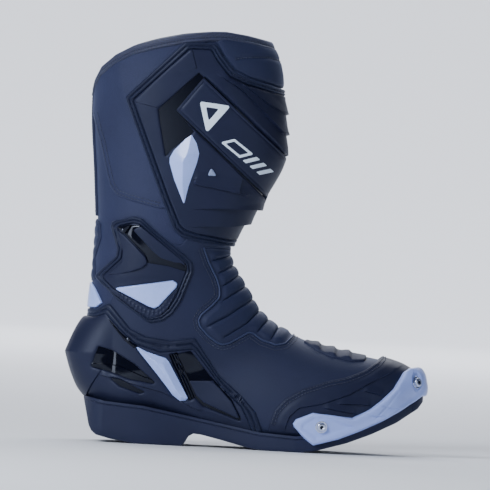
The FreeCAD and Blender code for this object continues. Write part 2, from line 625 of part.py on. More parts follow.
for cutter in (banner_prism, gloss_prism, diamond_prism, vent_prism):
    shin_plate = shin_plate.cut(cutter)
shin_banner = shin_layer.common(banner_prism)
shin_gloss_panel = layer("overlay_inside", "piping_outside").common(gloss_prism.cut(diamond_prism))
shin_diamond = layer("overlay_inside", "insert_outside").common(diamond_prism)
shin_vent = layer("overlay_inside", "shell_outside").common(vent_prism)
shin_piping = layer("overlay_inside", "piping_outside").common(shin_border.cut(shin_prism)).common(below_binding)
knee_panel = layer("overlay_inside", "thin_overlay").common(prism(KNEE_PANEL, 1.0)).common(below_binding)
shin_plate, shin_banner = shin_plate.common(below_binding), shin_banner.common(below_binding)

BADGE = [(-50.5, 291), (-27.5, 289), (-44.5, 266)]
BADGE_HOLE = [(-46, 287.5), (-36, 286.5), (-43.5, 276)]
STRIPES = [[(-22, 271), (-17, 275.5), (6, 255), (1, 250.5)], [(-29, 264.5), (-24.5, 268.5), (-1.5, 248), (-6, 244)]]
badge_layer = layer("badge_inside", "badge_outside")
banner_badge = badge_layer.common(prism(BADGE, 2.0, LATERAL).cut(prism(BADGE_HOLE, 1.0, LATERAL)))
banner_stripes = Part.makeCompound([badge_layer.common(prism(points, 1.2, LATERAL)) for points in STRIPES])

# ---------------------------------------------------------------- shaft: leather, padding, lining, collar
zip_bottom = Vector(size("zip_bottom_x"), size("zip_bottom_y"), size("zip_bottom_z"))
zip_top = Vector(size("zip_top_x"), size("zip_top_y"), size("zip_top_z"))
zip_up = (zip_top - zip_bottom).normalize()
zip_length = (zip_top - zip_bottom).Length
zip_across = (Vector(1, 0, 0) - zip_up * zip_up.x).normalize()
zip_frame = FreeCAD.Placement(zip_bottom, FreeCAD.Rotation(zip_across, zip_up.cross(zip_across), zip_up, "ZXY"))


def in_zip(across, outward, up):
    """A place in the zip's own directions, from its bottom."""
    return zip_frame.multiply(FreeCAD.Placement(Vector(across, outward, up), FreeCAD.Rotation()))


CALF_EDGE = [(-170, 277), (-139.5, 277), (-133.5, 254), (-127.5, 231), (-123.5, 217), (-117.5, 209), (-105.5, 205),
             (-80.5, 199.5)]
calf_zone = prism([*CALF_EDGE, (-60, 199.5), (60, 199.5), (60, 400), (-170, 400)], 3.0)
SLOT_BELOW, SLOT_ABOVE, SLOT_IN, SLOT_OUT = 6.0, 30.0, 3.5, 6.0
zip_slot = Part.makeBox(size("zip_slot"), SLOT_IN + SLOT_OUT, zip_length + SLOT_BELOW + SLOT_ABOVE)
zip_slot.Placement = in_zip(-size("zip_slot") / 2, -SLOT_IN, -SLOT_BELOW)
shaft_leather = leather.common(shaft_zone).cut(instep_prism).cut(tendon_prism).cut(zip_slot)
calf_panel = shaft_leather.common(calf_zone)
shin_leather = shaft_leather.cut(calf_zone)
shaft_padding = padding.common(shaft_zone).cut(zip_slot)
shaft_lining = lining.common(shaft_zone)
collar_region = below_rim.cut(below_binding)
collar_binding = volume(1.4).cut(volume(size("lining_inside"))).common(collar_region).cut(zip_slot)


# ---------------------------------------------------------------- zip: tapes, teeth, stops, slider and pull
def zip_block(name, across, outward, up, width, depth, height):
    """A block in the zip's own directions; the three sizes are expressions."""
    return primitive("Part::Box", name, in_zip(across, outward, up), Length=width, Width=depth, Height=height)


TAPE_EDGE, TAPE_FLOOR, TAPE_BELOW = 2.6, -0.95, 4.0
tape_size = dict(width="Dimensions.tape_width", depth="Dimensions.tape_height", height="Dimensions.tape_length")
front_tape = zip_block("tape_front", TAPE_EDGE, TAPE_FLOOR, -TAPE_BELOW, **tape_size)
rear_tape = zip_block("tape_rear", -TAPE_EDGE - size("tape_width"), TAPE_FLOOR, -TAPE_BELOW, **tape_size)
as_node(group("tapes", front_tape, rear_tape), "zip_tapes")

TEETH_FLOOR, TEETH_PITCH, TEETH_OVER, TEETH_END = 0.2, 3.6, 0.9, 151.0
tooth = zip_block("tooth", -TEETH_OVER, TEETH_FLOOR, 0.0, "Dimensions.teeth_width", "Dimensions.teeth_height",
                  "Dimensions.tooth_length")
doc.recompute()
teeth = []
for i in range(int(TEETH_END / TEETH_PITCH)):
    front_tooth, rear_tooth = tooth.Shape.copy(), tooth.Shape.copy()
    front_tooth.Placement = in_zip(-TEETH_OVER, TEETH_FLOOR, i * TEETH_PITCH)
    rear_tooth.Placement = in_zip(TEETH_OVER - size("teeth_width"), TEETH_FLOOR, (i + 0.5) * TEETH_PITCH)
    teeth += [front_tooth, rear_tooth]
zip_teeth = doc.addObject("Part::Feature", "teeth")
zip_teeth.Shape = Part.makeCompound(teeth)
as_node(zip_teeth, "zip_teeth")

stop_size = dict(width="Dimensions.stop_width", depth="Dimensions.teeth_height", height="Dimensions.stop_height")
STOP_ABOVE, STOP_BELOW = 157.0, -3.2
bottom_stop = zip_block("bottom_stop", -size("bottom_stop_width") / 2, TEETH_FLOOR, STOP_BELOW,
                        "Dimensions.bottom_stop_width", "Dimensions.teeth_height", "Dimensions.stop_height")
front_stop = zip_block("front_stop", TAPE_EDGE, TEETH_FLOOR, STOP_ABOVE, **stop_size)
rear_stop = zip_block("rear_stop", -TAPE_EDGE - size("stop_width"), TEETH_FLOOR, STOP_ABOVE, **stop_size)
as_node(group("stops", bottom_stop, front_stop, rear_stop), "zip_stops")

SLIDER_AT, PLATE_OUT, PLATE_IN, PIN_OUT, PIN_UP = 141.0, 2.7, -2.4, 6.9, 4.0
slider_half = size("slider_width") / 2
upper_plate = zip_block("upper_plate", -slider_half, PLATE_OUT, SLIDER_AT, "Dimensions.slider_width",
                        "Dimensions.slider_plate", "Dimensions.slider_length")
lower_plate = zip_block("lower_plate", -slider_half, PLATE_IN, SLIDER_AT, "Dimensions.slider_width",
                        "Dimensions.slider_back", "Dimensions.slider_length")
POST_FROM_END = 3.5
post = zip_block("post", -size("post_width") / 2, PLATE_IN, SLIDER_AT + size("slider_length") - POST_FROM_END,
                 "Dimensions.post_width", "Dimensions.post_depth", "Dimensions.post_height")
ear_size = dict(width="Dimensions.ear_width", depth="Dimensions.ear_depth", height="Dimensions.ear_height")
EAR_EDGE, EAR_OUT = 2.4, PLATE_OUT + 1.0
ear_up = SLIDER_AT + PIN_UP - size("ear_height") / 2
front_ear = zip_block("front_ear", EAR_EDGE, EAR_OUT, ear_up, **ear_size)
rear_ear = zip_block("rear_ear", -EAR_EDGE - size("ear_width"), EAR_OUT, ear_up, **ear_size)
pin_place = in_zip(-EAR_EDGE - size("ear_width"), PIN_OUT, SLIDER_AT + PIN_UP)
pin_turn = FreeCAD.Placement(Vector(0, 0, 0), FreeCAD.Rotation(Vector(0, 1, 0), 90))
pin = primitive("Part::Cylinder", "pin", pin_place.multiply(pin_turn), Radius="Dimensions.pin_radius",
                Height="2 * (Dimensions.ear_width + Dimensions.ear_inner_edge)")
as_node(fused("slider", upper_plate, lower_plate, post, front_ear, rear_ear, pin), "zip_slider")

EYE_HALF = 2.1
TAB_ROUNDING, TAB_BELOW_PIN, NECK_BELOW_PIN = 2.5, 3.0, 4.0
tab_plate = rectangle_body("tab_plate", "pull_width", "pull_length", "pull_thickness", TAB_ROUNDING)
tab_turn = FreeCAD.Placement(Vector(0, 0, 0), FreeCAD.Rotation(Vector(1, 0, 0), 90))
tab_middle = SLIDER_AT + PIN_UP - TAB_BELOW_PIN - size("pull_length") / 2
tab_plate.Placement = in_zip(0.0, PIN_OUT + size("pull_thickness") / 2, tab_middle).multiply(tab_turn)
eye_place = in_zip(-EYE_HALF, PIN_OUT, SLIDER_AT + PIN_UP).multiply(pin_turn)
eye = primitive("Part::Cylinder", "eye", eye_place, Radius="Dimensions.eye_radius", Height="Dimensions.eye_length")
neck = zip_block("neck", -EYE_HALF, PIN_OUT - size("pull_thickness") / 2, SLIDER_AT + PIN_UP - NECK_BELOW_PIN,
                 "Dimensions.eye_length", "Dimensions.pull_thickness", "Dimensions.neck_length")
eye_bore = primitive("Part::Cylinder", "eye_bore", eye_place,
                     Radius="Dimensions.pin_radius + Dimensions.pin_clearance", Height="Dimensions.eye_length")
as_node(cut_by("pull_tab", fused("tab_solid", tab_plate, eye, neck), eye_bore), "zip_pull_tab")

# ---------------------------------------------------------------- ankle protectors
ANKLE_OUTER = [(-130.5, 138), (-112, 121), (-97.5, 111.5), (-87, 104), (-83, 102.5), (-72.5, 105), (-65, 111),
               (-59, 121), (-50, 147), (-51, 156), (-57.5, 162), (-80, 178.5), (-94.5, 190.5),
               (-101.5, 191.5),
               (-119, 186.5), (-120, 182), (-113.5, 163), (-114.5, 157), (-130, 141.5)]
ANKLE_INNER = [(-124, 138.5), (-111, 126.5), (-95, 115), (-83.5, 107.5), (-75, 109.5), (-69, 115), (-63, 125),
               (-55.5, 147.5), (-57, 153.5), (-78, 170.5), (-95.5, 185), (-101, 186), (-114, 182.5),
               (-108.5, 164.5),
               (-109.5, 155.5), (-123, 141.5)]
ANKLE_TRIANGLE = [(-115.5, 130.5), (-66, 139.5), (-62, 137), (-63, 133.5), (-76.5, 117), (-80, 115), (-84.5, 116)]
ANKLE_MEDIAL = [(-128, 136), (-112, 121), (-97, 110), (-84, 103), (-72, 105), (-60, 120), (-52, 140), (-64, 150),
                (-88, 153), (-112, 150)]
ankle_lateral = prism(ANKLE_INNER, 2.5, LATERAL)
ankle_border = prism(ANKLE_OUTER, 3.0, LATERAL)
triangle_prism = prism(ANKLE_TRIANGLE, 2.0, LATERAL)
ankle_protector = layer("overlay_inside", "plate_outside").common(ankle_lateral).cut(triangle_prism)
ankle_triangle = layer("overlay_inside", "insert_outside").common(triangle_prism)
ankle_piping = layer("overlay_inside", "piping_outside").common(ankle_border.cut(ankle_lateral))
ankle_protector_medial = layer("overlay_inside", "shell_outside").common(prism(ANKLE_MEDIAL, 8.0, MEDIAL))

for name, shape in (
    ("outsole", outsole), ("insole_board", insole_board), ("footbed", footbed), ("vamp", vamp),
    ("heel_quarter", heel_quarter), ("toe_puff", toe_puff), ("heel_counter", heel_counter),
    ("foot_lining", foot_lining), ("heel_cup", heel_cup), *inserts.items(), ("heel_piping", heel_piping),
    ("toe_rand", toe_rand), ("toe_slider", toe_slider),
    ("shift_pad", shift_pad), ("ankle_leather", ankle_leather), ("instep_flex_panel", instep_flex_panel),
    ("tendon_flex_panel", tendon_flex_panel), ("achilles_patch", achilles_patch),
    ("ankle_lining", ankle_lining),
    ("calf_panel", calf_panel), ("shin_leather", shin_leather), ("shaft_padding", shaft_padding),
    ("shaft_lining", shaft_lining), ("collar_binding", collar_binding), ("shin_plate", shin_plate),
    ("shin_piping", shin_piping), ("shin_banner", shin_banner), ("shin_gloss_panel", shin_gloss_panel),
    ("shin_diamond", shin_diamond), ("shin_vent", shin_vent), ("knee_panel", knee_panel),
    ("banner_badge", banner_badge), ("banner_stripes", banner_stripes), ("ankle_protector", ankle_protector),
    ("ankle_triangle", ankle_triangle), ("ankle_piping", ankle_piping),
    ("ankle_protector_medial", ankle_protector_medial),
):
    feature(name, shape)

doc.recompute()

# ---------------------------------------------------------------- check every object, then write the nodes
broken = [item.Label for item in doc.Objects if "Invalid" in item.State or "Error" in item.State]
broken += [node.Label for node in NODES if node.Shape.isNull() or not node.Shape.isValid()]
if broken:
    raise RuntimeError(f"not valid: {broken}")
os.makedirs("parts", exist_ok=True)
for node in NODES:
    node.Shape.exportStep(f"parts/{node.Label}.step")
    print(f"{node.Label:26s} {len(node.Shape.Solids)} {node.Shape.Volume / 1000:8.2f} cm3")
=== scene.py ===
import math

import bmesh
import bpy
import numpy as np
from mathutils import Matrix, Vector, kdtree
from mathutils.bvhtree import BVHTree
from mathutils.geometry import delaunay_2d_cdt


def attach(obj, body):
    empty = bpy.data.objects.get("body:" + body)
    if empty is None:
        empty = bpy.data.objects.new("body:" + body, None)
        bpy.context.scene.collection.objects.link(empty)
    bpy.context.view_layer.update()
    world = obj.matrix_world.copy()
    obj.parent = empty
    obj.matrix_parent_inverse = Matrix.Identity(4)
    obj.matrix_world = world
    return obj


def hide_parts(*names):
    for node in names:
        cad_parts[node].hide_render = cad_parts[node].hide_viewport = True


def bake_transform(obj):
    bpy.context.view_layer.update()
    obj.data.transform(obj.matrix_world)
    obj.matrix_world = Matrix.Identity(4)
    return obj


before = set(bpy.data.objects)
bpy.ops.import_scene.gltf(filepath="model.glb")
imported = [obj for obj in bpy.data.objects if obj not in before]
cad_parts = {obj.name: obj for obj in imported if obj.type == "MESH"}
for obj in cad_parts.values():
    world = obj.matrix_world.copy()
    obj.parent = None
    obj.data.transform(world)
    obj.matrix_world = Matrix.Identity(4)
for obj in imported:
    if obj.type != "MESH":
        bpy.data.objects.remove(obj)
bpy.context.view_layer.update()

MM = 0.001
PI = math.pi
LATERAL, MEDIAL = 1, -1

# ------------------------------------------------------------------ the last: the leather's outer surface, in mm
# Each station is a closed section: front x, front z, back x, back z, half width, share of the line where it is
# widest, front roundness, back roundness, and how far its middle lies towards the inner side.
STATIONS = np.array([
    (-10, 372, -141, 338, 59.0, 0.50, 2.1, 2.1, 0),
    (10.5, 335, -141, 312, 56.5, 0.50, 2.1, 2.1, 0),
    (18, 300, -141, 285, 54.1, 0.50, 2.1, 2.1, 0),
    (20, 268, -139.5, 260, 51.8, 0.50, 2.1, 2.1, 0),
    (20, 247, -137, 236, 50.0, 0.50, 2.1, 2.1, 0),
    (12, 228, -135, 213, 48.4, 0.50, 2.1, 2.1, 0),
    (3, 212, -133.5, 193, 47.0, 0.50, 2.1, 2.1, 0),
    (-8, 195, -133.5, 172, 45.5, 0.50, 2.1, 2.1, 0),
    (-16, 178, -134, 151, 44.0, 0.50, 2.0, 2.1, 0),
    (-19.5, 162, -135, 131, 42.3, 0.50, 2.0, 2.1, 0),
    (-13, 148, -136.5, 108, 41.2, 0.48, 2.0, 2.2, 0),
    (-6, 137, -137.5, 76, 40.2, 0.46, 2.0, 2.3, 0),
    (0, 128, -134, 45, 39.8, 0.46, 2.0, 2.6, 0),
    (5, 119.5, -118, 31, 39.5, 0.50, 2.0, 3.4, 0),
    (12, 112.5, -85, 28.5, 39.2, 0.56, 2.0, 4.0, 0),
    (20, 106, -50, 22.5, 40.2, 0.62, 2.0, 4.0, -0.5),
    (30, 101, -18, 17, 43.2, 0.68, 2.0, 4.0, -1),
    (45, 94.5, 14, 11.5, 47.0, 0.74, 2.0, 4.0, -1.5),
    (65, 88.5, 44, 9.5, 48.6, 0.78, 2.1, 4.0, -1),
    (85, 84.3, 70, 11.5, 47.4, 0.78, 2.2, 4.0, 0.5),
    (105, 81.5, 94, 18.5, 43.2, 0.76, 2.3, 3.6, 3),
    (122, 77.5, 114, 28, 36.5, 0.70, 2.3, 3.2, 5.5),
    (136, 71, 130, 38, 27.0, 0.60, 2.2, 2.8, 8),
    (145, 63, 142, 47, 16.0, 0.50, 2.1, 2.3, 9.5),
    (148.6, 57, 147.6, 52.5, 6.5, 0.50, 2.0, 2.0, 10),
    (149.3, 55.3, 149.2, 54.6, 1.0, 0.50, 2.0, 2.0, 10),
])


def station_knots():
    middles = (STATIONS[:, 0:2] + STATIONS[:, 2:4]) / 2
    steps = np.linalg.norm(np.diff(middles, axis=0), axis=1)
    return np.concatenate([[0.0], np.cumsum(np.maximum(steps, 1.5) ** 0.8)])


def smooth_through(knots, rows):
    """A natural cubic spline through the rows."""
    count, gaps = len(knots), np.diff(knots)
    matrix, right = np.eye(count), np.zeros_like(rows)
    for i in range(1, count - 1):
        matrix[i, i - 1:i + 2] = gaps[i - 1], 2 * (gaps[i - 1] + gaps[i]), gaps[i]
        right[i] = 6 * ((rows[i + 1] - rows[i]) / gaps[i] - (rows[i] - rows[i - 1]) / gaps[i - 1])
    bend = np.linalg.solve(matrix, right)

    def at(v):
        v = np.clip(v, knots[0], knots[-1])
        i = np.clip(np.searchsorted(knots, v) - 1, 0, count - 2)
        gap = gaps[i][..., None]
        a = (knots[i + 1] - v)[..., None] / gap
        b = 1 - a
        curve = ((a ** 3 - a) * bend[i] + (b ** 3 - b) * bend[i + 1]) * gap ** 2 / 6
        return a * rows[i] + b * rows[i + 1] + curve
    return at


KNOTS = station_knots()
V_END = KNOTS[-1]
station = smooth_through(KNOTS, STATIONS)


def base(v, t):
    """Points on the leather: v runs from the collar to the toe, t round the boot from its front, outer side first."""
    fx, fz, bx, bz, half, widest, front_round, back_round, middle = np.moveaxis(station(v), -1, 0)
    c, s = np.cos(t), np.sin(t)
    front = c >= 0
    power = 2 / np.where(front, front_round, back_round)
    run = np.abs(c) ** power
    share = np.where(front, widest * (1 - run), widest + (1 - widest) * run)
    across = middle - np.sign(s) * half * np.abs(s) ** power
    return np.stack([fx + (bx - fx) * share, across, fz + (bz - fz) * share], -1)


def unit(vectors):
    return vectors / np.maximum(np.linalg.norm(vectors, axis=-1, keepdims=True), 1e-9)


def normals(v, t, step=0.02):
    v = np.clip(v, step, V_END - step)
    along = base(v + step, t) - base(v - step, t)
    around = base(v, t + step) - base(v, t - step)
    return unit(np.cross(around, along))


def surface(v, t, out=0.0):
    v, t = np.broadcast_arrays(np.asarray(v, float), np.asarray(t, float))
    return base(v, t) + normals(v, t) * np.asarray(out)[..., None]


def locate(points):
    """The place (v, t) on the outer side that shows at each (x, z) in the side view."""
    x, z = np.asarray(points, float)[:, 0], np.asarray(points, float)[:, 1]
    low, high = np.zeros(len(x)), np.full(len(x), V_END)
    for _ in range(40):
        mid = (low + high) / 2
        fx, fz, bx, bz = station(mid)[:, :4].T
        under = (x - bx) * (fz - bz) - (z - bz) * (fx - bx) > 0
        low, high = np.where(under, mid, low), np.where(under, high, mid)
    fx, fz, bx, bz, _, widest, front_round, back_round, _ = station(mid).T
    length = (fx - bx) ** 2 + (fz - bz) ** 2
    share = np.clip(((fx - x) * (fx - bx) + (fz - z) * (fz - bz)) / length, 0, 1)
    front = np.arccos(np.clip(1 - share / widest, 0, 1) ** (front_round / 2))
    back = PI - np.arccos(np.clip((share - widest) / (1 - widest), 0, 1) ** (back_round / 2))
    return np.stack([mid, np.where(share < widest, front, back)], -1)


# ------------------------------------------------------------------ outlines
def rounded(points, radius, closed=False):
    """The polyline with its corners eased by the radius, or as far as fits."""
    points = [np.array(p, float) for p in points]
    count, result = len(points), []
    for i, corner in enumerate(points):
        if not closed and i in (0, count - 1):
            result.append(corner)
            continue
        before, after = points[i - 1] - corner, points[(i + 1) % count] - corner
        lengths = np.linalg.norm(before), np.linalg.norm(after)
        turn = PI - math.acos(np.clip(before @ after / (lengths[0] * lengths[1]), -1, 1))
        cut = min(radius * math.tan(turn / 2), 0.45 * lengths[0], 0.45 * lengths[1])
        start, finish = corner + before / lengths[0] * cut, corner + after / lengths[1] * cut
        for k in np.linspace(0, 1, 5 if cut > 0.3 else 2):
            result.append((1 - k) ** 2 * start + 2 * k * (1 - k) * corner + k ** 2 * finish)
    return np.array(result)


def dense(points, step, closed=False):
    """The polyline with points no further apart than the step."""
    ends = np.vstack([points, points[:1]]) if closed else points
    result = []
    for a, b in zip(ends, ends[1:]):
        count = max(1, math.ceil(np.linalg.norm(b - a) / step))
        result += [a + (b - a) * k / count for k in range(count)]
    if not closed:
        result.append(ends[-1])
    return np.array(result)


def trace(points, radius=1.5, side=LATERAL, rear=False, closed=False, step=1.0):
    """A side-view outline, in mm, as places (v, t) on the boot. rear says that it meets the back, not the front."""
    found = locate(dense(rounded(points, radius, closed), step, closed))
    if side == MEDIAL:
        found[:, 1] = 2 * PI - found[:, 1] if rear else -found[:, 1]
    return found


def mirrored(path, rear=False):
    """The same outline on the other side, in the opposite order."""
    flipped = path[::-1].copy()
    flipped[:, 1] = 2 * PI - flipped[:, 1] if rear else -flipped[:, 1]
    return flipped


def scales(loop):
    """Millimetres per unit of v and of t, about the middle of the loop."""
    v, t = np.clip(loop[:, 0], 0.1, V_END - 0.1), loop[:, 1]
    along = np.linalg.norm(base(v + 0.05, t) - base(v - 0.05, t), axis=1) / 0.1
    around = np.linalg.norm(base(v, t + 0.02) - base(v, t - 0.02), axis=1) / 0.04
    return np.array([np.median(along), np.median(around)])


def inside(points, loops):
    hit = np.zeros(len(points), bool)
    for loop in loops:
        a, b = loop, np.roll(loop, -1, 0)
        for (ax, ay), (bx, by) in zip(a, b):
            if ay == by:
                continue
            spans = (points[:, 1] < max(ay, by)) & (points[:, 1] >= min(ay, by))
            hit ^= spans & (points[:, 0] < ax + (points[:, 1] - ay) / (by - ay) * (bx - ax))
    return hit


def nearest(points, seeds):
    """Distance from each point to the nearest of the seeds, all in space."""
    if seeds.shape[1] == 2:
        points, seeds = (np.hstack([p, np.zeros((len(p), 1))]) for p in (points, seeds))
    tree = kdtree.KDTree(len(seeds))
    for i, seed in enumerate(seeds):
        tree.insert(seed, i)
    tree.balance()
    return np.array([tree.find(p)[2] for p in points])


# ------------------------------------------------------------------ meshes
def new_object(name, points, faces, material, sharp=40.0):
    mesh = bpy.data.meshes.new(name)
    mesh.from_pydata((np.asarray(points) * MM).tolist(), [], [list(map(int, f)) for f in faces])
    mesh.update()
    work = bmesh.new()
    work.from_mesh(mesh)
    bmesh.ops.dissolve_degenerate(work, dist=1e-6, edges=work.edges)
    bmesh.ops.recalc_face_normals(work, faces=work.faces)
    work.to_mesh(mesh)
    work.free()
    mesh.shade_smooth()
    mesh.set_sharp_from_angle(angle=math.radians(sharp))
    made = bpy.data.objects.new(name, mesh)
    bpy.context.collection.objects.link(made)
    mesh.materials.append(material)
    return made


def closed_shell(top, bottom, faces):
    """Two skins with the same faces, joined round their open edges."""
    count, faces = len(top), [list(f) for f in faces]
    edges = {}
    for face in faces:
        for a, b in zip(face, face[1:] + face[:1]):
            edges[(a, b)] = edges.get((b, a), 0) + 1
    rim = [(a, b) for (a, b) in edges if (b, a) not in edges]
    sides = [[b, a, a + count, b + count] for a, b in rim]
    under = [[i + count for i in reversed(face)] for face in faces]
    return np.vstack([top, bottom]), faces + under + sides


def panel(name, loop, material, lift, holes=(), spacing=1.5, edge=1.2, under=-0.5, creases=(), rails=(), sharp=40.0,
          on=None):
    """A closed piece on the boot inside a loop of places (v, t), less its holes, which may overlap.
    on is another surface for it to lie on, with places already in mm.
    lift(d, x, z, v, t, g) is its height in mm: d is the distance from its nearest edge and g the distances from each
    of the rails, or from each loop. edge is the width that gets extra points for its rounding."""
    scale, on = (np.ones(2), on) if on else (scales(loop), surface)
    loops = [dense(np.asarray(path) * scale, min(spacing, 1.2), True) for path in (loop, *holes)]
    lines = [dense(np.asarray(path) * scale, spacing) for path in creases]

    def kept(points):
        found = inside(points, loops[:1])
        for hole in loops[1:]:
            found &= ~inside(points, [hole])
        return found

    def border(number):
        seeds = dense(loops[number], 0.3, True)
        for other, hole in enumerate(loops[1:], start=1):
            if other != number:
                seeds = seeds[~inside(seeds, [hole])]
        return seeds

    borders = [border(number) for number in range(len(loops))]
    seeds = np.vstack(borders)
    low, high = loops[0].min(0), loops[0].max(0)
    rows = np.arange(low[0], high[0], spacing * 0.87)
    grid = [np.stack([np.full(len(columns), row), columns], 1)
            for i, row in enumerate(rows)
            for columns in [np.arange(low[1] + (i % 2) * spacing / 2, high[1], spacing)]]
    grid = np.vstack(grid)
    rings = []
    for path in loops:
        ahead = unit(np.roll(path, -1, 0) - np.roll(path, 1, 0))
        inward = np.stack([-ahead[:, 1], ahead[:, 0]], 1)
        for depth in (0.12, 0.35, 0.65, 1.0):
            rings += [path + inward * depth * edge, path - inward * depth * edge]
    rings = np.vstack(rings)
    rings = rings[kept(rings)]
    rings = rings[nearest(rings, seeds) > 0.1 * edge]
    grid = grid[kept(grid)]
    grid = grid[nearest(grid, seeds) > edge + 0.3 * spacing]
    if lines:
        grid = grid[nearest(grid, np.vstack([dense(line, 0.3) for line in lines])) > 0.45 * spacing]
        lines = [line[kept(line)] for line in lines]
    points, edges = [], []
    for path, closed in [(p, True) for p in loops] + [(p, False) for p in lines]:
        first, count = len(points), len(path)
        points += path.tolist()
        edges += [(first + k, first + (k + 1) % count) for k in range(count if closed else count - 1)]
    points += rings.tolist() + grid.tolist()
    found, _, faces, *_ = delaunay_2d_cdt([Vector(p) for p in points], edges, [], 0, 1e-5)
    found = np.array([tuple(p) for p in found])
    faces = np.array([f for f in faces if len(f) == 3])
    faces = faces[kept(found[faces].mean(1))]
    used = np.unique(faces)
    index = np.full(len(found), -1)
    index[used] = np.arange(len(used))
    found, faces = found[used], index[faces]
    v, t = found[:, 0] / scale[0], found[:, 1] / scale[1]
    ground = on(v, t)
    away = nearest(ground, on(seeds[:, 0] / scale[0], seeds[:, 1] / scale[1]))
    guides = [dense(np.asarray(path) * scale, 0.3) for path in rails] or borders
    gaps = [nearest(ground, on(path[:, 0] / scale[0], path[:, 1] / scale[1])) for path in guides]
    height = lift(away, ground[:, 0], ground[:, 2], v, t, gaps) + np.zeros(len(v))
    top, bottom = on(v, t, height), on(v, t, np.minimum(under, height - 0.25))
    return new_object(name, *closed_shell(top, bottom, faces), material, sharp)


def round_edge(d, radius, low=0.25):
    """0 at an edge to 1 a radius in, as a quarter circle that starts at low."""
    k = np.clip(1 - d / radius, 0, 1)
    return low + (1 - low) * np.sqrt(1 - k ** 2)


def ease(low, high, value):
    k = np.clip((value - low) / (high - low), 0, 1)
    return k * k * (3 - 2 * k)


def flat(height, radius, low=0.25):
    """The height of a flat piece with a rounded edge."""
    return lambda d, x, z, v, t, g: height * round_edge(d, radius, low)


def level(height):
    return lambda d, x, z, v, t, g: height


def two_cords(low, rise):
    """The height of two cords side by side between two rails."""
    return lambda d, x, z, v, t, g: low + rise * twin(g)


def tube(name, points, radius, material, closed=False, sides=10):
    """A round cord along the points."""
    points = np.asarray(points)
    ahead = np.roll(points, -1, 0) - np.roll(points, 1, 0) if closed else np.gradient(points, axis=0)
    ahead = unit(ahead)
    up = unit(np.cross(ahead, np.array([0.31, 0.77, 0.56])))
    across = np.cross(ahead, up)
    angles = np.linspace(0, 2 * PI, sides, endpoint=False)
    rings = points[:, None] + radius * (np.cos(angles)[None, :, None] * up[:, None]
                                        + np.sin(angles)[None, :, None] * across[:, None])
    count, faces = len(points), []
    for i in range(count if closed else count - 1):
        j = (i + 1) % count
        for k in range(sides):
            m = (k + 1) % sides
            faces.append([i * sides + k, i * sides + m, j * sides + m, j * sides + k])
    if not closed:
        faces += [list(range(sides))[::-1], [(count - 1) * sides + k for k in range(sides)]]
    return new_object(name, rings.reshape(-1, 3), faces, material, 60)


def evenly(points, pitch):
    """Points along a path at an even pitch, with the directions there."""
    points = np.asarray(points)
    steps = np.linalg.norm(np.diff(points, axis=0), axis=1)
    run = np.concatenate([[0], np.cumsum(steps)])
    at = np.arange(pitch / 2, run[-1], pitch)
    placed = np.stack([np.interp(at, run, points[:, k]) for k in range(points.shape[1])], 1)
    ahead = np.stack([np.interp(at + 0.1, run, points[:, k]) for k in range(points.shape[1])], 1)
    behind = np.stack([np.interp(at - 0.1, run, points[:, k]) for k in range(points.shape[1])], 1)
    return placed, unit(ahead - behind)


def stitches(name, rows, material, out=0.5, pitch=3.1, length=2.3, radius=0.34):
    """Thread showing along the rows, which are paths of places (v, t): one rounded bead for each stitch."""
    points, faces, sides = [], [], 6
    profile = [(-0.5, 0.15), (-0.38, 0.8), (0, 1.0), (0.38, 0.8), (0.5, 0.15)]
    for row in rows:
        path = dense(row * scales(row), 1.0) / scales(row)
        spots = np.hstack([surface(path[:, 0], path[:, 1], out), normals(path[:, 0], path[:, 1]), path])
        placed, ahead = evenly(spots, pitch)
        for spot, way in zip(placed, ahead):
            outward = unit(spot[3:6])
            way = unit(way[:3])
            across = unit(np.cross(outward, way))
            first = len(points)
            for along, wide in profile:
                for k in range(sides):
                    angle = 2 * PI * k / sides
                    rim = across * math.cos(angle) * radius * wide + outward * math.sin(angle) * radius * wide
                    points.append(spot[:3] + way * along * length + rim)
            for ring in range(len(profile) - 1):
                for k in range(sides):
                    a, b = first + ring * sides + k, first + ring * sides + (k + 1) % sides
                    faces.append([a, b, b + sides, a + sides])
            faces.append([first + k for k in range(sides)][::-1])
            faces.append([first + (len(profile) - 1) * sides + k for k in range(sides)])
    return new_object(name, points, faces, material, 60)


def finished(piece, body=None, replaces=(), flexes=False):
    """Say what the piece rides on and which CAD nodes it stands for."""
    if flexes:
        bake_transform(piece)
    else:
        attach(piece, body)
    if replaces:
        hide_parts(*replaces)
    return piece


# ------------------------------------------------------------------ relief drawn in the side view
def beside(x, z, line):
    """Signed distance to a line in the side view, positive on its left, and the share of its length passed."""
    points = np.stack([x, z], -1)
    line = np.array(line, float)
    lengths = np.linalg.norm(np.diff(line, axis=0), axis=1)
    run, total = 0.0, lengths.sum()
    best, gap, along = np.full(len(x), np.inf), np.zeros(len(x)), np.zeros(len(x))
    for a, b, length in zip(line, line[1:], lengths):
        offset, way = points - a, (b - a) / length
        share = np.clip(offset @ way, 0, length)
        away = np.linalg.norm(offset - share[:, None] * way, axis=1)
        left = way[0] * offset[:, 1] - way[1] * offset[:, 0]
        near = away < best
        best = np.where(near, away, best)
        gap = np.where(near, np.where(left >= 0, away, -away), gap)
        along = np.where(near, (run + share) / total, along)
        run += length
    return gap, along


def step(x, z, line, rise, reach, start=0.2):
    """A louvre: full height just left of the line, sinking away from it, and nothing on its right."""
    gap, along = beside(x, z, line)
    return rise * np.clip(1 - gap / reach, 0, 1) * ease(-0.45, 0.0, gap) * ease(0, start, along)


def groove(x, z, line, depth, width, fade=0.08):
    gap, along = beside(x, z, line)
    return -depth * np.exp(-(gap / width) ** 2) * ease(0, fade, along) * ease(0, fade, 1 - along)


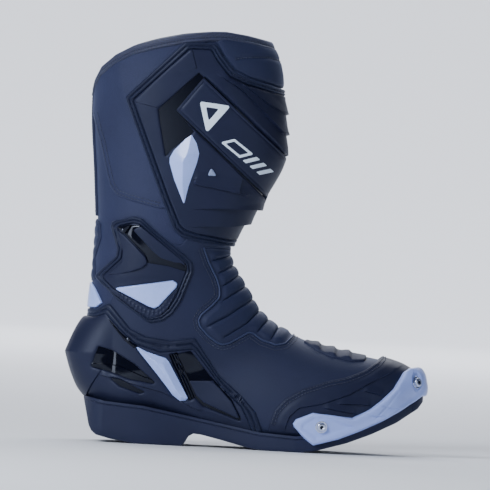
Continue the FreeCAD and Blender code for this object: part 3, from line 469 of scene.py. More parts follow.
def within(x, z, outline):
    """Distance inside a closed outline in the side view, and nothing outside it."""
    gap, _ = beside(x, z, [*outline, outline[0]])
    return np.where(inside(np.stack([x, z], -1), [np.array(outline, float)]), np.abs(gap), 0.0)


def shifted(line, distance):
    """The line moved to its right."""
    line = np.array(line, float)
    way = unit(np.gradient(line, axis=0))
    return line + np.stack([way[:, 1], -way[:, 0]], 1) * distance


# ------------------------------------------------------------------ materials
class Nodes:
    """Short names for building one node material."""

    def __init__(self, name):
        self.material = bpy.data.materials.new(name)
        self.material.use_nodes = True
        self.tree = self.material.node_tree
        self.shader = next(n for n in self.tree.nodes if n.type == "BSDF_PRINCIPLED")
        self.place = self.tree.nodes.new("ShaderNodeTexCoord").outputs["Object"]

    def add(self, kind, **inputs):
        node = self.tree.nodes.new(kind)
        for key, value in inputs.items():
            socket = node.inputs[key.replace("_", " ")]
            if hasattr(value, "is_output"):
                self.tree.links.new(value, socket)
            else:
                socket.default_value = value
        return node

    def noise(self, scale, detail=4.0, rough=0.55, place=None):
        node = self.add("ShaderNodeTexNoise", Vector=place or self.place, Scale=scale, Detail=detail)
        node.inputs["Roughness"].default_value = rough
        return node.outputs["Fac"]

    def cells(self, scale, feature="F1", randomness=1.0):
        node = self.add("ShaderNodeTexVoronoi", Vector=self.place, Scale=scale, Randomness=randomness)
        node.feature = feature
        return node.outputs["Distance"]

    def math(self, operation, a, b=0.0):
        node = self.tree.nodes.new("ShaderNodeMath")
        node.operation = operation
        for socket, value in zip(node.inputs, (a, b)):
            if hasattr(value, "is_output"):
                self.tree.links.new(value, socket)
            else:
                socket.default_value = value
        return node.outputs[0]

    def ramp(self, value, low, high, start=0.0, end=1.0):
        node = self.add("ShaderNodeMapRange", Value=value)
        for key, number in (("From Min", low), ("From Max", high), ("To Min", start), ("To Max", end)):
            node.inputs[key].default_value = number
        return node.outputs["Result"]

    def mix(self, factor, one, two):
        node = self.tree.nodes.new("ShaderNodeMix")
        node.data_type = "RGBA"
        for socket, value in ((node.inputs[0], factor), (node.inputs[6], one), (node.inputs[7], two)):
            if hasattr(value, "is_output"):
                self.tree.links.new(value, socket)
            else:
                socket.default_value = value if isinstance(value, float) else (*value, 1.0)
        return node.outputs[2]

    def bump(self, height, strength, distance, under=None):
        node = self.add("ShaderNodeBump", Height=height, Strength=strength, Distance=distance)
        if under is not None:
            self.tree.links.new(under, node.inputs["Normal"])
        return node.outputs["Normal"]

    def finish(self, color, roughness, normal=None, **constants):
        links = self.tree.links
        links.new(color, self.shader.inputs["Base Color"])
        links.new(roughness, self.shader.inputs["Roughness"])
        if normal is not None:
            links.new(normal, self.shader.inputs["Normal"])
        for key, value in constants.items():
            self.shader.inputs[key.replace("_", " ")].default_value = value
        return self.material


SPECULAR_TINT = (0.75, 0.82, 1.0, 1.0)


def shade(color, factor):
    return tuple(c * factor for c in color)


def leather(name, color, grain=900.0, depth=0.00022, rough=0.52, folds=0.0006, sheen=0.12):
    """Grained leather: pebbles, fine pores, soft creases, and a little colour drift."""
    n = Nodes(name)
    drift = n.noise(16.0, 3.0)
    pebbles = n.cells(grain, "SMOOTH_F1")
    pores = n.noise(grain * 2.6, 2.0)
    creases = n.noise(60.0, 5.0, 0.6)
    tone = n.mix(n.ramp(drift, 0.3, 0.7), shade(color, 0.84), shade(color, 1.14))
    tone = n.mix(n.ramp(pebbles, 0.0, 0.55, 0.75, 0.0), tone, shade(color, 1.22))
    roughness = n.ramp(n.math("ADD", n.math("MULTIPLY", drift, 0.7), n.math("MULTIPLY", pores, 0.3)), 0.3, 0.7,
                       rough - 0.07, rough + 0.09)
    normal = n.bump(creases, 0.35, folds)
    normal = n.bump(pebbles, 0.5, depth, normal)
    normal = n.bump(pores, 0.3, depth * 0.5, normal)
    return n.finish(tone, roughness, normal, Sheen_Weight=sheen, Sheen_Roughness=0.5,
                    Sheen_Tint=(0.35, 0.5, 1.0, 1.0), Specular_IOR_Level=0.28, Specular_Tint=SPECULAR_TINT)


def moulded(name, color, rough=0.42, speckle=1500.0, depth=0.00006, coat=0.0, wear=0.12, spec=0.5):
    """Moulded plastic or rubber: a fine spark-eroded texture, faint flow marks and a few handling marks."""
    n = Nodes(name)
    drift = n.noise(24.0, 3.0)
    fine = n.noise(speckle, 2.0, 0.7)
    marks = n.noise(210.0, 6.0, 0.75)
    tone = n.mix(n.ramp(drift, 0.3, 0.7), shade(color, 0.9), shade(color, 1.1))
    tone = n.mix(n.ramp(marks, 0.62, 0.78, 0.0, wear), tone, shade(color, 2.2))
    roughness = n.ramp(n.math("ADD", n.math("MULTIPLY", drift, 0.5), n.math("MULTIPLY", marks, 0.5)), 0.3, 0.7,
                       rough - 0.06, rough + 0.08)
    normal = n.bump(fine, 0.4, depth)
    normal = n.bump(drift, 0.15, depth * 4, normal)
    return n.finish(tone, roughness, normal, Coat_Weight=coat, Coat_Roughness=0.06, Specular_IOR_Level=spec,
                    Specular_Tint=SPECULAR_TINT)


def woven(name, color, pitch=1100.0, depth=0.00018, rough=0.75, sheen=0.3):
    """Woven or knitted cloth: crossing threads as two waves, with fuzz."""
    n = Nodes(name)
    waves = []
    for turn in ((0.0, 0.0, 0.0), (0.0, PI / 2, PI / 3)):
        spun = n.add("ShaderNodeMapping", Vector=n.place, Rotation=turn)
        wave = n.add("ShaderNodeTexWave", Vector=spun.outputs[0], Scale=pitch / 6.3, Distortion=0.4)
        waves.append(wave.outputs["Fac"])
    weave = n.math("MAXIMUM", *waves)
    fuzz = n.noise(2200.0, 2.0)
    tone = n.mix(n.ramp(weave, 0.2, 0.9), shade(color, 0.6), shade(color, 1.25))
    roughness = n.ramp(fuzz, 0.2, 0.8, rough - 0.08, rough + 0.1)
    normal = n.bump(weave, 0.6, depth)
    normal = n.bump(fuzz, 0.3, depth * 0.4, normal)
    return n.finish(tone, roughness, normal, Sheen_Weight=sheen, Sheen_Roughness=0.4,
                    Sheen_Tint=(0.6, 0.7, 1.0, 1.0))


def metal(name, color, rough=0.2, grain=700.0):
    """Plain or lacquered metal with fine turning marks."""
    n = Nodes(name)
    marks = n.noise(grain, 4.0, 0.7)
    drift = n.noise(90.0, 3.0)
    tone = n.mix(n.ramp(drift, 0.3, 0.7), shade(color, 0.85), shade(color, 1.1))
    roughness = n.ramp(marks, 0.3, 0.7, rough * 0.7, rough * 1.4)
    return n.finish(tone, roughness, n.bump(marks, 0.2, 0.00004), Metallic=1.0)


CALF = leather("calf leather", (0.0185, 0.0225, 0.0560), 820.0, 0.00022, 0.54)
SMOOTH = leather("smooth leather", (0.0135, 0.0165, 0.0420), 1500.0, 0.00010, 0.56, 0.0003)
RIBBED = leather("stretch leather", (0.0140, 0.0175, 0.0450), 1300.0, 0.00014, 0.54, 0.0004)
PIPING = leather("piping leather", (0.0080, 0.0100, 0.0270), 1500.0, 0.00010, 0.46, 0.0002)
SHELL = moulded("matte shell", (0.0110, 0.0135, 0.0350), 0.46, spec=0.28)
RUBBER = moulded("sole rubber", (0.0140, 0.0170, 0.0430), 0.56, 1100.0, 0.00009, spec=0.3)
GLOSS = moulded("gloss black", (0.0016, 0.0020, 0.0060), 0.06, 600.0, 0.00001, wear=0.0, spec=0.32)
PALE = moulded("pale gloss", (0.3800, 0.5000, 0.9800), 0.28, 900.0, 0.00002, coat=0.35, wear=0.0)
PRINT = moulded("pale print", (0.74, 0.86, 1.0), 0.5, 900.0, 0.00002, wear=0.0)
GREY = moulded("grey plastic", (0.20, 0.25, 0.40), 0.45)
SLIDER = moulded("slider paint", (0.3300, 0.4300, 0.8800), 0.30, 1300.0, 0.00004, coat=0.2, wear=0.03)
BINDING = woven("binding cloth", (0.0175, 0.0215, 0.0530), 1500.0, 0.00014, 0.62)
LINING = woven("lining mesh", (0.012, 0.015, 0.028), 700.0, 0.0003, 0.8)
TAPE = woven("zip tape", (0.010, 0.013, 0.024), 1700.0, 0.00012, 0.7)
FOAM = woven("foam", (0.05, 0.05, 0.06), 500.0, 0.0004, 0.9)
FOOTBED = woven("footbed cloth", (0.035, 0.04, 0.07), 900.0, 0.0002, 0.8)
THREAD = woven("thread", (0.0120, 0.0155, 0.0400), 2600.0, 0.0001, 0.5)
TRIM = leather("trim piping", (0.0300, 0.0380, 0.0850), 1500.0, 0.00008, 0.40, 0.0002)
BOARD = moulded("stiffener board", (0.25, 0.22, 0.18), 0.7)
CHROME = metal("screw chrome", (0.62, 0.68, 0.86), 0.16)
STEEL = metal("steel", (0.45, 0.46, 0.48), 0.35)
LACQUER = metal("black zip metal", (0.05, 0.055, 0.075), 0.3)
TEETH = moulded("zip teeth", (0.012, 0.014, 0.024), 0.3)
# painted shade: a near-black finish for the discs laid in the screw sockets
SOCKET_SHADE = moulded("socket shadow", (0.004, 0.005, 0.010), 0.6)

# ------------------------------------------------------------------ outlines in the side view, in mm
SHIN_OUTER = [(-66, 340.5), (-41, 340.5), (-33.5, 329.5), (-23.5, 318), (-11.5, 312.5), (20, 305)]
SHIN_LEFT = [(-12, 171.5), (-23, 170.5), (-51, 174), (-61.5, 177), (-67.5, 182), (-78.5, 207), (-113.5, 292),
             (-66, 340.5)]
SHIN_INNER = [(-62, 335), (-44, 335.5), (-38, 326), (-27, 313.5), (-13.5, 307.5), (20, 300)]
SHIN_INNER_LEFT = [(-12, 177.5), (-23, 176.5), (-50, 180), (-58.5, 182.5), (-63, 186.5), (-73, 208.5),
                   (-106.5, 290), (-62, 335)]
SHIN_OUTER_MEDIAL = [(20, 305), (-11.5, 312.5), (-24, 317.5), (-28, 280), (-30, 210), (-36, 174), (-12, 171.5)]
SHIN_INNER_MEDIAL = [(20, 300), (-13.5, 307.5), (-18, 309), (-22, 280), (-24, 210), (-30, 180), (-12, 177.5)]
SHIN_GLOSS = [(-53, 315), (-85, 283), (-83.5, 274), (-77, 244), (-72.5, 249.5), (-61.5, 259.5), (-56.5, 263.5),
              (-55, 266), (-70.5, 283), (-49, 311.5)]
SHIN_DIAMOND = [(-56.5, 263), (-52, 256), (-49.5, 247.5), (-51, 239.5), (-57, 219.5), (-60, 204), (-69, 224.5),
                (-73.5, 238.5), (-73.5, 243), (-70.5, 249), (-61.5, 259)]
SHIN_VENT = [(-39, 236.5), (-34, 229.5), (-42, 229.5)]
KNEE_PANEL = [(-39.6, 342), (-32.6, 331), (-22.9, 319.5), (-11.2, 314), (20, 306.5)]
ANKLE_OUTER = [(-130.5, 138), (-112, 121), (-97.5, 111.5), (-87, 104), (-83, 102.5), (-72.5, 105), (-65, 111),
               (-59, 121), (-50, 147), (-51, 156), (-57.5, 162), (-80, 178.5), (-94.5, 190.5), (-101.5, 191.5),
               (-119, 186.5), (-120, 182), (-113.5, 163), (-114.5, 157), (-130, 141.5)]
ANKLE_INNER = [(-124, 138.5), (-111, 126.5), (-95, 115), (-83.5, 107.5), (-75, 109.5), (-69, 115), (-63, 125),
               (-55.5, 147.5), (-57, 153.5), (-78, 170.5), (-95.5, 185), (-101, 186), (-114, 182.5), (-108.5, 164.5),
               (-109.5, 155.5), (-123, 141.5)]
ANKLE_TRIANGLE = [(-115.5, 130.5), (-66, 139.5), (-62, 137), (-63, 133.5), (-76.5, 117), (-80, 115), (-84.5, 116)]
INSTEP = [(-18, 168.5), (-42, 168.5), (-37, 155.5), (-30, 143), (-27, 135), (-26.5, 127), (-32, 120), (-40.5, 112),
          (-43, 107), (-41.5, 102), (-34, 94), (-25.5, 88), (-21.5, 87), (-15.5, 88.5), (0, 98), (3.5, 97.5),
          (12, 92), (23.5, 88.5), (31.5, 90), (37.5, 96.5), (39, 99)]
PATCH = [(-137, 136.5), (-132, 130), (-124.8, 117), (-129.5, 113.2), (-139, 112.6)]
HEEL_CUP = [(-138, 105.5), (-128, 105.5), (-120, 109), (-108, 96.5), (-94.5, 84.5), (-72.5, 78.5), (-45, 82.5),
            (-33, 68), (-20, 52), (-2, 36), (10, 15.2), (-18, 19.3), (-50, 24.8), (-85, 30.8), (-113.5, 33.2),
            (-136, 36)]
HEEL_WHITE = [(-95, 83), (-84.5, 78), (-68.5, 73.5), (-65.5, 70.5), (-58.5, 58.5), (-48, 41), (-49.5, 39),
              (-54.5, 38.5), (-61, 43), (-75, 59.5), (-89.5, 76)]
HEEL_GLOSS_UP = [(-122, 80.5), (-113.5, 77.5), (-94.5, 67), (-75.5, 51.5), (-97.5, 54.5), (-125.5, 63.5)]
HEEL_GLOSS_LOW = [(-114, 54.5), (-106, 53.5), (-84.5, 44), (-89.5, 43), (-105.5, 48)]
QUARTER_GLOSS = [(-59, 77), (-48, 80.5), (-31, 61), (-11, 41), (-1, 24), (-34.5, 35), (-41.5, 41.5), (-48, 56)]
TOE_LINE = [(20, 10), (22, 23.5), (25.5, 34.5), (34, 44.5), (47.5, 53), (68, 60.5), (84, 64.5), (101, 71),
            (109.5, 75.5), (114, 80)]
FEATHER = [(20, 10), (44, 9), (70, 12), (94, 20), (114, 30), (130, 41), (142, 50), (149.3, 55)]
TOE_SLIDER = [(41.5, 23.9), (44, 28), (58.2, 34.3), (70, 33.2), (92.8, 30.8), (107.8, 38.8), (118.7, 48),
              (127.8, 58.1), (133, 68.5), (134.8, 73.5), (138.3, 76.2), (141.5, 76.6)]
TOE_SLIDER_LOW = [(153, 52), (147, 47.5), (136.3, 40.5), (117.8, 29.4), (99.1, 20.2), (80.4, 12), (59.7, 6),
                  (51.6, 12.9), (42.6, 21)]
SHIFT_PAD = [(49, 93), (46.5, 92), (50, 90), (59, 85), (72, 80), (89.5, 77.5), (99.5, 78.5), (101, 80.5), (101, 82.1)]
RIM = [(-150, 285), (-141.5, 299), (-139.5, 308.5), (-134.5, 319), (-123.5, 329), (-109, 337), (-89, 343),
       (-66, 348.5), (-43, 352), (-31.5, 352.5), (-14, 350.5), (5, 347), (30, 338)]


def joined(*paths):
    return np.vstack(paths)


def both(path, rear=False):
    """A path on the outer side and its mirror on the inner side."""
    return [path, mirrored(path, rear)]


def over_front(points, radius=2.0):
    """A line that runs across the front from the outer side to the inner side."""
    path = trace(points, radius)
    return joined(path, mirrored(path)[1:])


def over_back(points, radius=2.0):
    path = trace(points, radius)
    return joined(path, mirrored(path, True)[1:])


def twin(gaps):
    """0 to 1 to 0 twice across a band between its two rails: the section of two cords side by side."""
    return np.abs(np.sin(2 * PI * gaps[0] / (gaps[0] + gaps[1] + 1e-6))) ** 0.6


# ------------------------------------------------------------------ where the zip lies, on the inner side
ZIP_FOOT, ZIP_HEAD = np.array([-70.5, 44.9, 178.0]), np.array([-61.5, 57.5, 338.0])
ZIP_UP = (ZIP_HEAD - ZIP_FOOT) / np.linalg.norm(ZIP_HEAD - ZIP_FOOT)
ZIP_ACROSS = unit(np.array([1.0, 0.0, 0.0]) - ZIP_UP * ZIP_UP[0])
ZIP_OUT = np.cross(ZIP_UP, ZIP_ACROSS)
ZIP_HALF_GAP = 6.3
TOOTH_PAIRS, TOOTH_PITCH, TOOTH_SIZE = 41, 3.6, (4.4, 1.9, 1.5)
PIN_OUT, PIN_UP, EYE_RADIUS, EYE_PATH = 6.9, 145.0, 2.4, 1.85


def zip_point(across, outward, up):
    return ZIP_FOOT + ZIP_ACROSS * across + ZIP_OUT * outward + ZIP_UP * up


def zip_line(across, low, high):
    """Side-view points beside the zip, from low to high along it."""
    return [tuple(zip_point(across, 0, up)[[0, 2]]) for up in (low, high)]


# ------------------------------------------------------------------ base leather, lining and collar
def rim_place(t, drop=0.0):
    """The v at which each t meets the collar's rim, or a line that lies drop below it."""
    rim = np.array(RIM)
    low, high = np.zeros(len(t)), np.full(len(t), KNOTS[5])
    for _ in range(36):
        mid = (low + high) / 2
        p = base(mid, t)
        over = p[:, 2] > np.interp(p[:, 0], rim[:, 0], rim[:, 1]) - drop
        low, high = np.where(over, mid, low), np.where(over, high, mid)
    return mid


def grid_shell(name, v, t, outer, inner, material, keep=None, sharp=40.0):
    """A shell round the boot over a grid of places, with its two skins at the two heights. keep marks its faces."""
    rows, columns = v.shape
    faces = []
    for i in range(rows - 1):
        for j in range(columns):
            k = (j + 1) % columns
            if keep is None or keep[i, j]:
                faces.append([i * columns + j, i * columns + k, (i + 1) * columns + k, (i + 1) * columns + j])
    used = sorted({i for face in faces for i in face})
    index = {old: new for new, old in enumerate(used)}
    faces = [[index[i] for i in face] for face in faces]
    v, t = v.ravel()[used], t.ravel()[used]
    top, bottom = surface(v, t, np.ravel(outer)[used]), surface(v, t, np.ravel(inner)[used])
    return new_object(name, *closed_shell(top, bottom, faces), material, sharp)


def make_base_leather():
    """The leather under all the panels, in one skin from the collar to the toe, open along the zip."""
    columns, rows = 220, 220
    around = np.linspace(-PI, PI, columns, endpoint=False)
    top = rim_place(around, 3.0)
    share = np.linspace(0, 1, rows)[:, None]
    v = top[None] + (V_END - 0.05 - top[None]) * share
    t = np.broadcast_to(around, v.shape)
    p = base(v.ravel(), t.ravel()).reshape(*v.shape, 3)
    soft = np.sin(p[..., 0] * 0.11 + 1.3 * np.sin(p[..., 2] * 0.05)) * np.sin(p[..., 2] * 0.075 + p[..., 1] * 0.03)
    from_zip = p - ZIP_FOOT
    beside_zip = np.abs(from_zip @ ZIP_ACROSS) < ZIP_HALF_GAP + 1
    along_zip = (from_zip @ ZIP_UP > -4) & (p[..., 1] > 0)
    piece = grid_shell("base_leather", v, t, 0.3 * soft - 0.25, np.full(v.shape, -1.6), CALF,
                       ~(beside_zip & along_zip))
    return finished(piece, replaces=("ankle_leather", "shin_leather", "heel_quarter"), flexes=True)


def make_lining():
    columns, rows = 120, 130
    around = np.linspace(-PI, PI, columns, endpoint=False)
    top = rim_place(around, 1.0)
    share = np.linspace(0, 1, rows)[:, None]
    v = top[None] + (KNOTS[22] - top[None]) * share
    t = np.broadcast_to(around, v.shape)
    quilt = 0.5 * np.abs(np.sin(around * 9))[None] * np.ones_like(v)
    piece = grid_shell("lining", v, t, np.full(v.shape, -5.1), -5.9 - quilt, LINING)
    return finished(piece, replaces=("shaft_lining", "ankle_lining", "foot_lining"), flexes=True)


def make_collar():
    """Cloth binding folded over the rim, stitched, with a gap where the zip runs out at the top."""
    columns = 300
    gap = [locate(np.array([zip_line(side, 150, 168)[1]]))[0, 1] for side in (-ZIP_HALF_GAP, ZIP_HALF_GAP)]
    around = np.linspace(-gap[1], 2 * PI - gap[0], columns)
    rim = rim_place(around, 1.4)
    down = rim_place(around, 8.0) - rim
    profile = [(1.25, 0.3), (1.14, 1.9), (0.98, 2.4), (0.88, 2.1), (0.74, 1.3), (0.6, 1.8), (0.3, 2.0), (0.1, 1.6),
               (0.02, 0.7), (0.0, -0.8), (0.0, -3.0), (0.0, -5.2), (0.03, -6.4), (0.15, -7.0), (0.5, -7.1),
               (0.72, -6.6), (0.84, -7.0), (1.6, -7.0), (1.65, -6.2), (1.3, -5.6), (1.25, -0.2)]
    points = np.concatenate([surface(rim + down * drop, around, np.full(columns, out)) for drop, out in profile])
    faces = []
    for i in range(len(profile)):
        n = (i + 1) % len(profile)
        for j in range(columns - 1):
            faces.append([i * columns + j, i * columns + j + 1, n * columns + j + 1, n * columns + j])
    faces += [[i * columns for i in range(len(profile))][::-1], [(i + 1) * columns - 1 for i in range(len(profile))]]
    piece = new_object("collar_binding_cloth", points, faces, BINDING, 50)
    finished(piece, "shaft", ("collar_binding",))
    row = np.stack([rim_place(around, 5.9), around], 1)[2:-2]
    finished(stitches("collar_stitches", [row], THREAD, 1.4, 2.8, 2.1, 0.42), "shaft")


def shaft_folds(x, z):
    """Long soft folds down the calf and the slight hang of the leather between them."""
    deep = np.exp(-((x + 117 + (z - 300) * 0.30) / 6.0) ** 2) * ease(252, 300, z) * 0.9
    second = np.exp(-((x + 98 + (z - 260) * 0.18) / 8.0) ** 2) * ease(215, 250, z) * ease(325, 290, z) * 0.6
    return deep + second + 0.35 * np.sin(x * 0.09 + z * 0.021) * np.sin(z * 0.043 - 0.6)


CALF_SEAM = [(-77.3, 200), (-80.5, 199.5), (-105.5, 205), (-117.5, 209), (-123.5, 217), (-127.5, 231), (-133.5, 254),
             (-136.5, 262), (-141, 278)]
BESIDE_ZIP, GUARD_WIDTH = ZIP_HALF_GAP + 1.2, 9


def make_calf_panels():
    """The outer and inner calf panels over the lower leather, with a double row along their lower edge."""
    lift = lambda d, x, z, v, t, g: 1.1 * round_edge(d, 1.1, 0.3) + shaft_folds(x, z) * ease(0, 9, d)
    seam = trace(CALF_SEAM, 6.0)
    turn = np.linspace(PI - 0.02, 1.05, 60)
    upper = np.stack([rim_place(turn, 7.0), turn], 1)
    front = trace([(-60, 338), (-100, 290), (-68, 206), (-72, 199)], 4.0)
    piece = panel("calf_panel_outer", joined(upper, front, seam), CALF, lift, spacing=2.0)
    finished(piece, "shaft", ("calf_panel",))
    edge = trace(zip_line(-BESIDE_ZIP, 22, 165), side=MEDIAL, rear=True)
    turn = np.linspace(edge[-1, 1], PI + 0.02, 50)
    upper = np.stack([rim_place(turn, 7.0), turn], 1)
    piece = panel("calf_panel_inner", joined(mirrored(seam, True), edge, upper[1:]), CALF, lift, spacing=2.0)
    finished(piece, "shaft")
    rows = [row for inset in (1.8, 4.6) for row in both(trace(shifted(CALF_SEAM, inset)[1:], 6.0), True)]
    finished(stitches("calf_stitches", rows, THREAD, 1.3, 3.0, 2.2, 0.36), "shaft")


TENDON_LINE = [(-138, 134), (-131.5, 137), (-133, 155), (-128.5, 172), (-130, 184), (-138, 192)]


def make_back():
    """The strip over the back seam, the stretch strip at the heel tendon and the pale plate under it."""
    half, count = 0.105, 60
    v = np.linspace(rim_place(np.array([PI]), 8.0)[0], locate([(-137, 190)])[0, 0], count)
    left, right = (np.stack([v, np.full(count, PI + side * half)], 1) for side in (-1, 1))
    piece = panel("back_seam_strip", joined(left, right[::-1]), SMOOTH, flat(1.7, 1.2, 0.3), spacing=1.4)
    finished(piece, "shaft")
    rows = [np.stack([v[1:-1], np.full(count - 2, PI + side * half * 0.68)], 1) for side in (-1, 1)]
    finished(stitches("back_stitches", rows, THREAD, 1.75, 3.0, 2.2, 0.36), "shaft")
    path = trace(TENDON_LINE, 2.0)
    ribs = lambda d, x, z, v, t, g: (0.9 + 0.9 * np.abs(np.sin((z - 137) * PI / 9.2)) ** 0.6 * ease(0, 3.5, d)
                                     ) * round_edge(d, 1.0, 0.4)
    piece = panel("tendon_strip", joined(path, mirrored(path, True)[1:-1]), RIBBED, ribs, spacing=1.3)
    finished(piece, replaces=("tendon_flex_panel",), flexes=True)
    rows = both(trace(shifted(TENDON_LINE[1:-1], -1.4), 2.0), True)
    finished(stitches("tendon_stitches", rows, THREAD, 1.3, 2.8, 2.0, 0.34), flexes=True)
    path = trace(PATCH, 1.0)
    piece = panel("achilles_plate", joined(path, mirrored(path, True)[1:-1]), PALE,
                  lambda d, x, z, v, t, g: 1.9 * round_edge(d, 1.4) + 0.03 * d, spacing=1.3)
    finished(piece, replaces=("achilles_patch",), flexes=True)


# ------------------------------------------------------------------ shin: knee panel, plate, banner and inserts
KNEE_STITCH = [(-25, 328), (-18, 329.5), (-8, 330.5), (4, 331), (14, 329), (24, 326)]
# louvres across the shin: the line of each lower edge, how far it stands up, how far it reaches and its fade-in
LOUVRES = [
    ([(-25, 313.5), (0.8, 294), (12, 287.5), (27, 281.5)], 2.6, 11.0, 0.35),
    ([(-40, 316.5), (-18, 303), (2, 284), (15.5, 269), (29, 263.5)], 3.0, 15.0, 0.25),
    ([(-58.5, 200), (-20, 204.5), (14, 209)], 4.4, 17.0, 0.6),
    ([(-59, 185), (-25, 189.5), (4, 197)], 4.4, 15.0, 0.6),
]
WEDGE = [([(-52.4, 221.7), (-17, 216.7)], 1.7, 12.0, 0.01), ([(-17, 216.7), (-12.5, 233)], 1.2, 10.0, 0.01)]
FACETS = [([(-55.5, 318.5), (-61, 337)], 1.0, 22.0, 0.01), ([(-106.5, 289), (-85, 284.5)], 0.9, 20.0, 0.01)]
BANNER_TOP = [(-60, 297), (-49, 311.5), (24, 246)]
BANNER_LOW = [(14, 221.5), (6.5, 215.5), (-70.5, 283), (-60, 297)]
BANNER_END = [(0.3, -0.16), (0.5, -0.36), (-0.4, -0.32), (0.0, -0.12)]
RECESS = [(-52, 318), (-88, 284), (-86.5, 274), (-79, 241), (-76, 236), (-70, 222), (-60, 201), (-54, 215),
          (-46, 250), (-20, 232), (5, 212), (13, 214), (24, 228), (25, 250), (-10, 282)]
BADGE = [(-51.5, 291.5), (-26, 289), (-44.5, 265)]
BADGE_HOLE = [(-46, 287), (-35.5, 286), (-43.3, 275.5)]
PRINT_START, PRINT_ALONG, PRINT_UP = np.array([-29.5, 261.5]), np.array([0.80, -0.60]), np.array([0.60, 0.80])
PRINT_BARS = (26.0, 33.0, 40.0)


def make_knee_panel():
    outer = trace(KNEE_PANEL, 2.0)
    inner = trace([(20, 306.5), (-11.5, 314), (-22, 318), (-25, 330), (-27, 344)], 2.0, MEDIAL)
    turn = np.linspace(inner[-1, 1], outer[0, 1], 30)
    upper = np.stack([rim_place(turn, 7.0), turn], 1)
    pad = lambda d, x, z, v, t, g: (2.6 * round_edge(d, 4.0, 0.2) + 0.4 * ease(2, 12, d)
                                    + groove(x, z, KNEE_STITCH, 1.0, 1.3))
    piece = panel("knee_pad", joined(outer, inner[1:], upper[1:-1]), RIBBED, pad, spacing=1.8, edge=2.5,
                  creases=[over_front(KNEE_STITCH)])
    finished(piece, "shaft", ("knee_panel",))
    row = over_front(KNEE_STITCH)
    finished(stitches("knee_stitches", [row], THREAD, 2.35, 2.6, 1.9, 0.36), "shaft")


def banner_loop(margin):
    """The banner's outline, which runs a little way past the front; margin makes it larger all round."""
    top, low = trace(shifted(BANNER_TOP, -margin), 1.8), trace(shifted(BANNER_LOW, -margin), 1.8)
    ends = [top[-1], top[-1], low[0], low[0]]
    wrap = [(end[0] + dv, dt - 0.02 * margin) for end, (dv, dt) in zip(ends, BANNER_END)]
    return joined(top, wrap, low)


def shin_creases():
    lines = [over_front(shifted(line, gap), 0.5) for line, *_ in LOUVRES for gap in (0.0, 0.5)]
    return lines + [trace(shifted(line, gap), 0.5) for line, *_ in WEDGE + FACETS for gap in (0.0, 0.5)]


def plate_relief(x, z, t):
    """The louvres and facets of the shin plate; the wedge and the facets are on the outer side only."""
    outer_side = np.sin(t) > 0
    banner_edge = step(x, z, [(-48, 313), (27, 244)], 2.8, 15.0)
    relief = sum(step(x, z, *louvre) for louvre in LOUVRES) + banner_edge
    return relief + outer_side * sum(step(x, z, *edge) for edge in WEDGE + FACETS)


def make_shin():
    outer = joined(trace(SHIN_LEFT, 4.0), trace(SHIN_OUTER, 4.0)[1:], trace(SHIN_OUTER_MEDIAL, 5.0, MEDIAL)[1:])
    inner = joined(trace(SHIN_INNER_LEFT, 3.0), trace(SHIN_INNER, 3.0)[1:],
                   trace(SHIN_INNER_MEDIAL, 4.0, MEDIAL)[1:])
    piece = panel("shin_piping_pair", outer, PIPING, two_cords(1.35, 1.8), [inner], 0.8, 0.5)
    finished(piece, "shaft", ("shin_piping",))
    gloss = trace(SHIN_GLOSS, 0.6, closed=True)
    diamond = trace(SHIN_DIAMOND, 0.8, closed=True)
    plate = lambda d, x, z, v, t, g: 3.1 * round_edge(d, 1.8, 0.25) + plate_relief(x, z, t) * ease(0, 2.2, d)
    piece = panel("shin_plate_shell", inner, SHELL, plate, [banner_loop(0.9), gloss], 1.5, 1.5,
                  creases=shin_creases(), sharp=32)
    finished(piece, "shaft", ("shin_plate",))
    piece = panel("shin_recess", trace(RECESS, 2.0, closed=True), GLOSS, level(1.3), (), 1.6, 0.5, under=0.2)
    finished(piece, "shaft", ("shin_gloss_panel",))
    banner = lambda d, x, z, v, t, g: 4.5 * round_edge(d, 1.0, 0.75) - 0.6 * ease(1.5, 1.9, d) * ease(3.1, 2.7, d)
    piece = panel("banner_plate", banner_loop(0.0), SHELL, banner, (), 1.5, 3.4, under=0.6)
    finished(piece, "shaft", ("shin_banner",))
    piece = panel("pale_diamond", diamond, PALE, lambda d, x, z, v, t, g: 3.1 + 0.5 * d, (), 0.9, 0.5, under=0.2,
                  sharp=16, creases=[trace([(-57.5, 262), (-62, 245), (-60.2, 206)], 0.5)])
    finished(piece, "shaft", ("shin_diamond",))
    button = lambda d, x, z, v, t, g: 4.2 + 1.2 * round_edge(d, 1.6, 0.2)
    piece = panel("vent_button", trace(SHIN_VENT, 1.5, closed=True), GREY, button, (), 0.8, 1.0)
    finished(piece, "shaft", ("shin_vent",))


def slanted(start, end, half, lean=3.4):
    """A leaning bar on the banner, between two distances along its line of print."""
    corners = [(start - lean, -half), (end - lean, -half), (end + lean, half), (start + lean, half)]
    return [tuple(PRINT_START + PRINT_ALONG * along + PRINT_UP * up) for along, up in corners]


def make_banner_print():
    """Plain marks: an open triangle, an open bar and three short bars."""
    print_lift = lambda d, x, z, v, t, g: 4.6 + 0.22 * round_edge(d, 0.4, 0.3)
    marks = [("banner_triangle", BADGE, BADGE_HOLE, 2.0, "banner_badge"),
             ("banner_open_bar", slanted(3.0, 23.0, 4.8), slanted(5.6, 20.4, 2.9, 2.1), 1.2, "banner_stripes")]
    marks += [(f"banner_bar_{number}", slanted(start, start + 3.6, 4.8), None, 0.6, "banner_stripes")
              for number, start in enumerate(PRINT_BARS, start=1)]
    for name, outline, hole, corner, node in marks:
        holes = [trace(hole, corner * 0.5, closed=True)] if hole else []
        piece = panel(name, trace(outline, corner, closed=True), PRINT, print_lift, holes, 1.0, 0.4, under=4.2)
        finished(piece, "shaft", (node,))


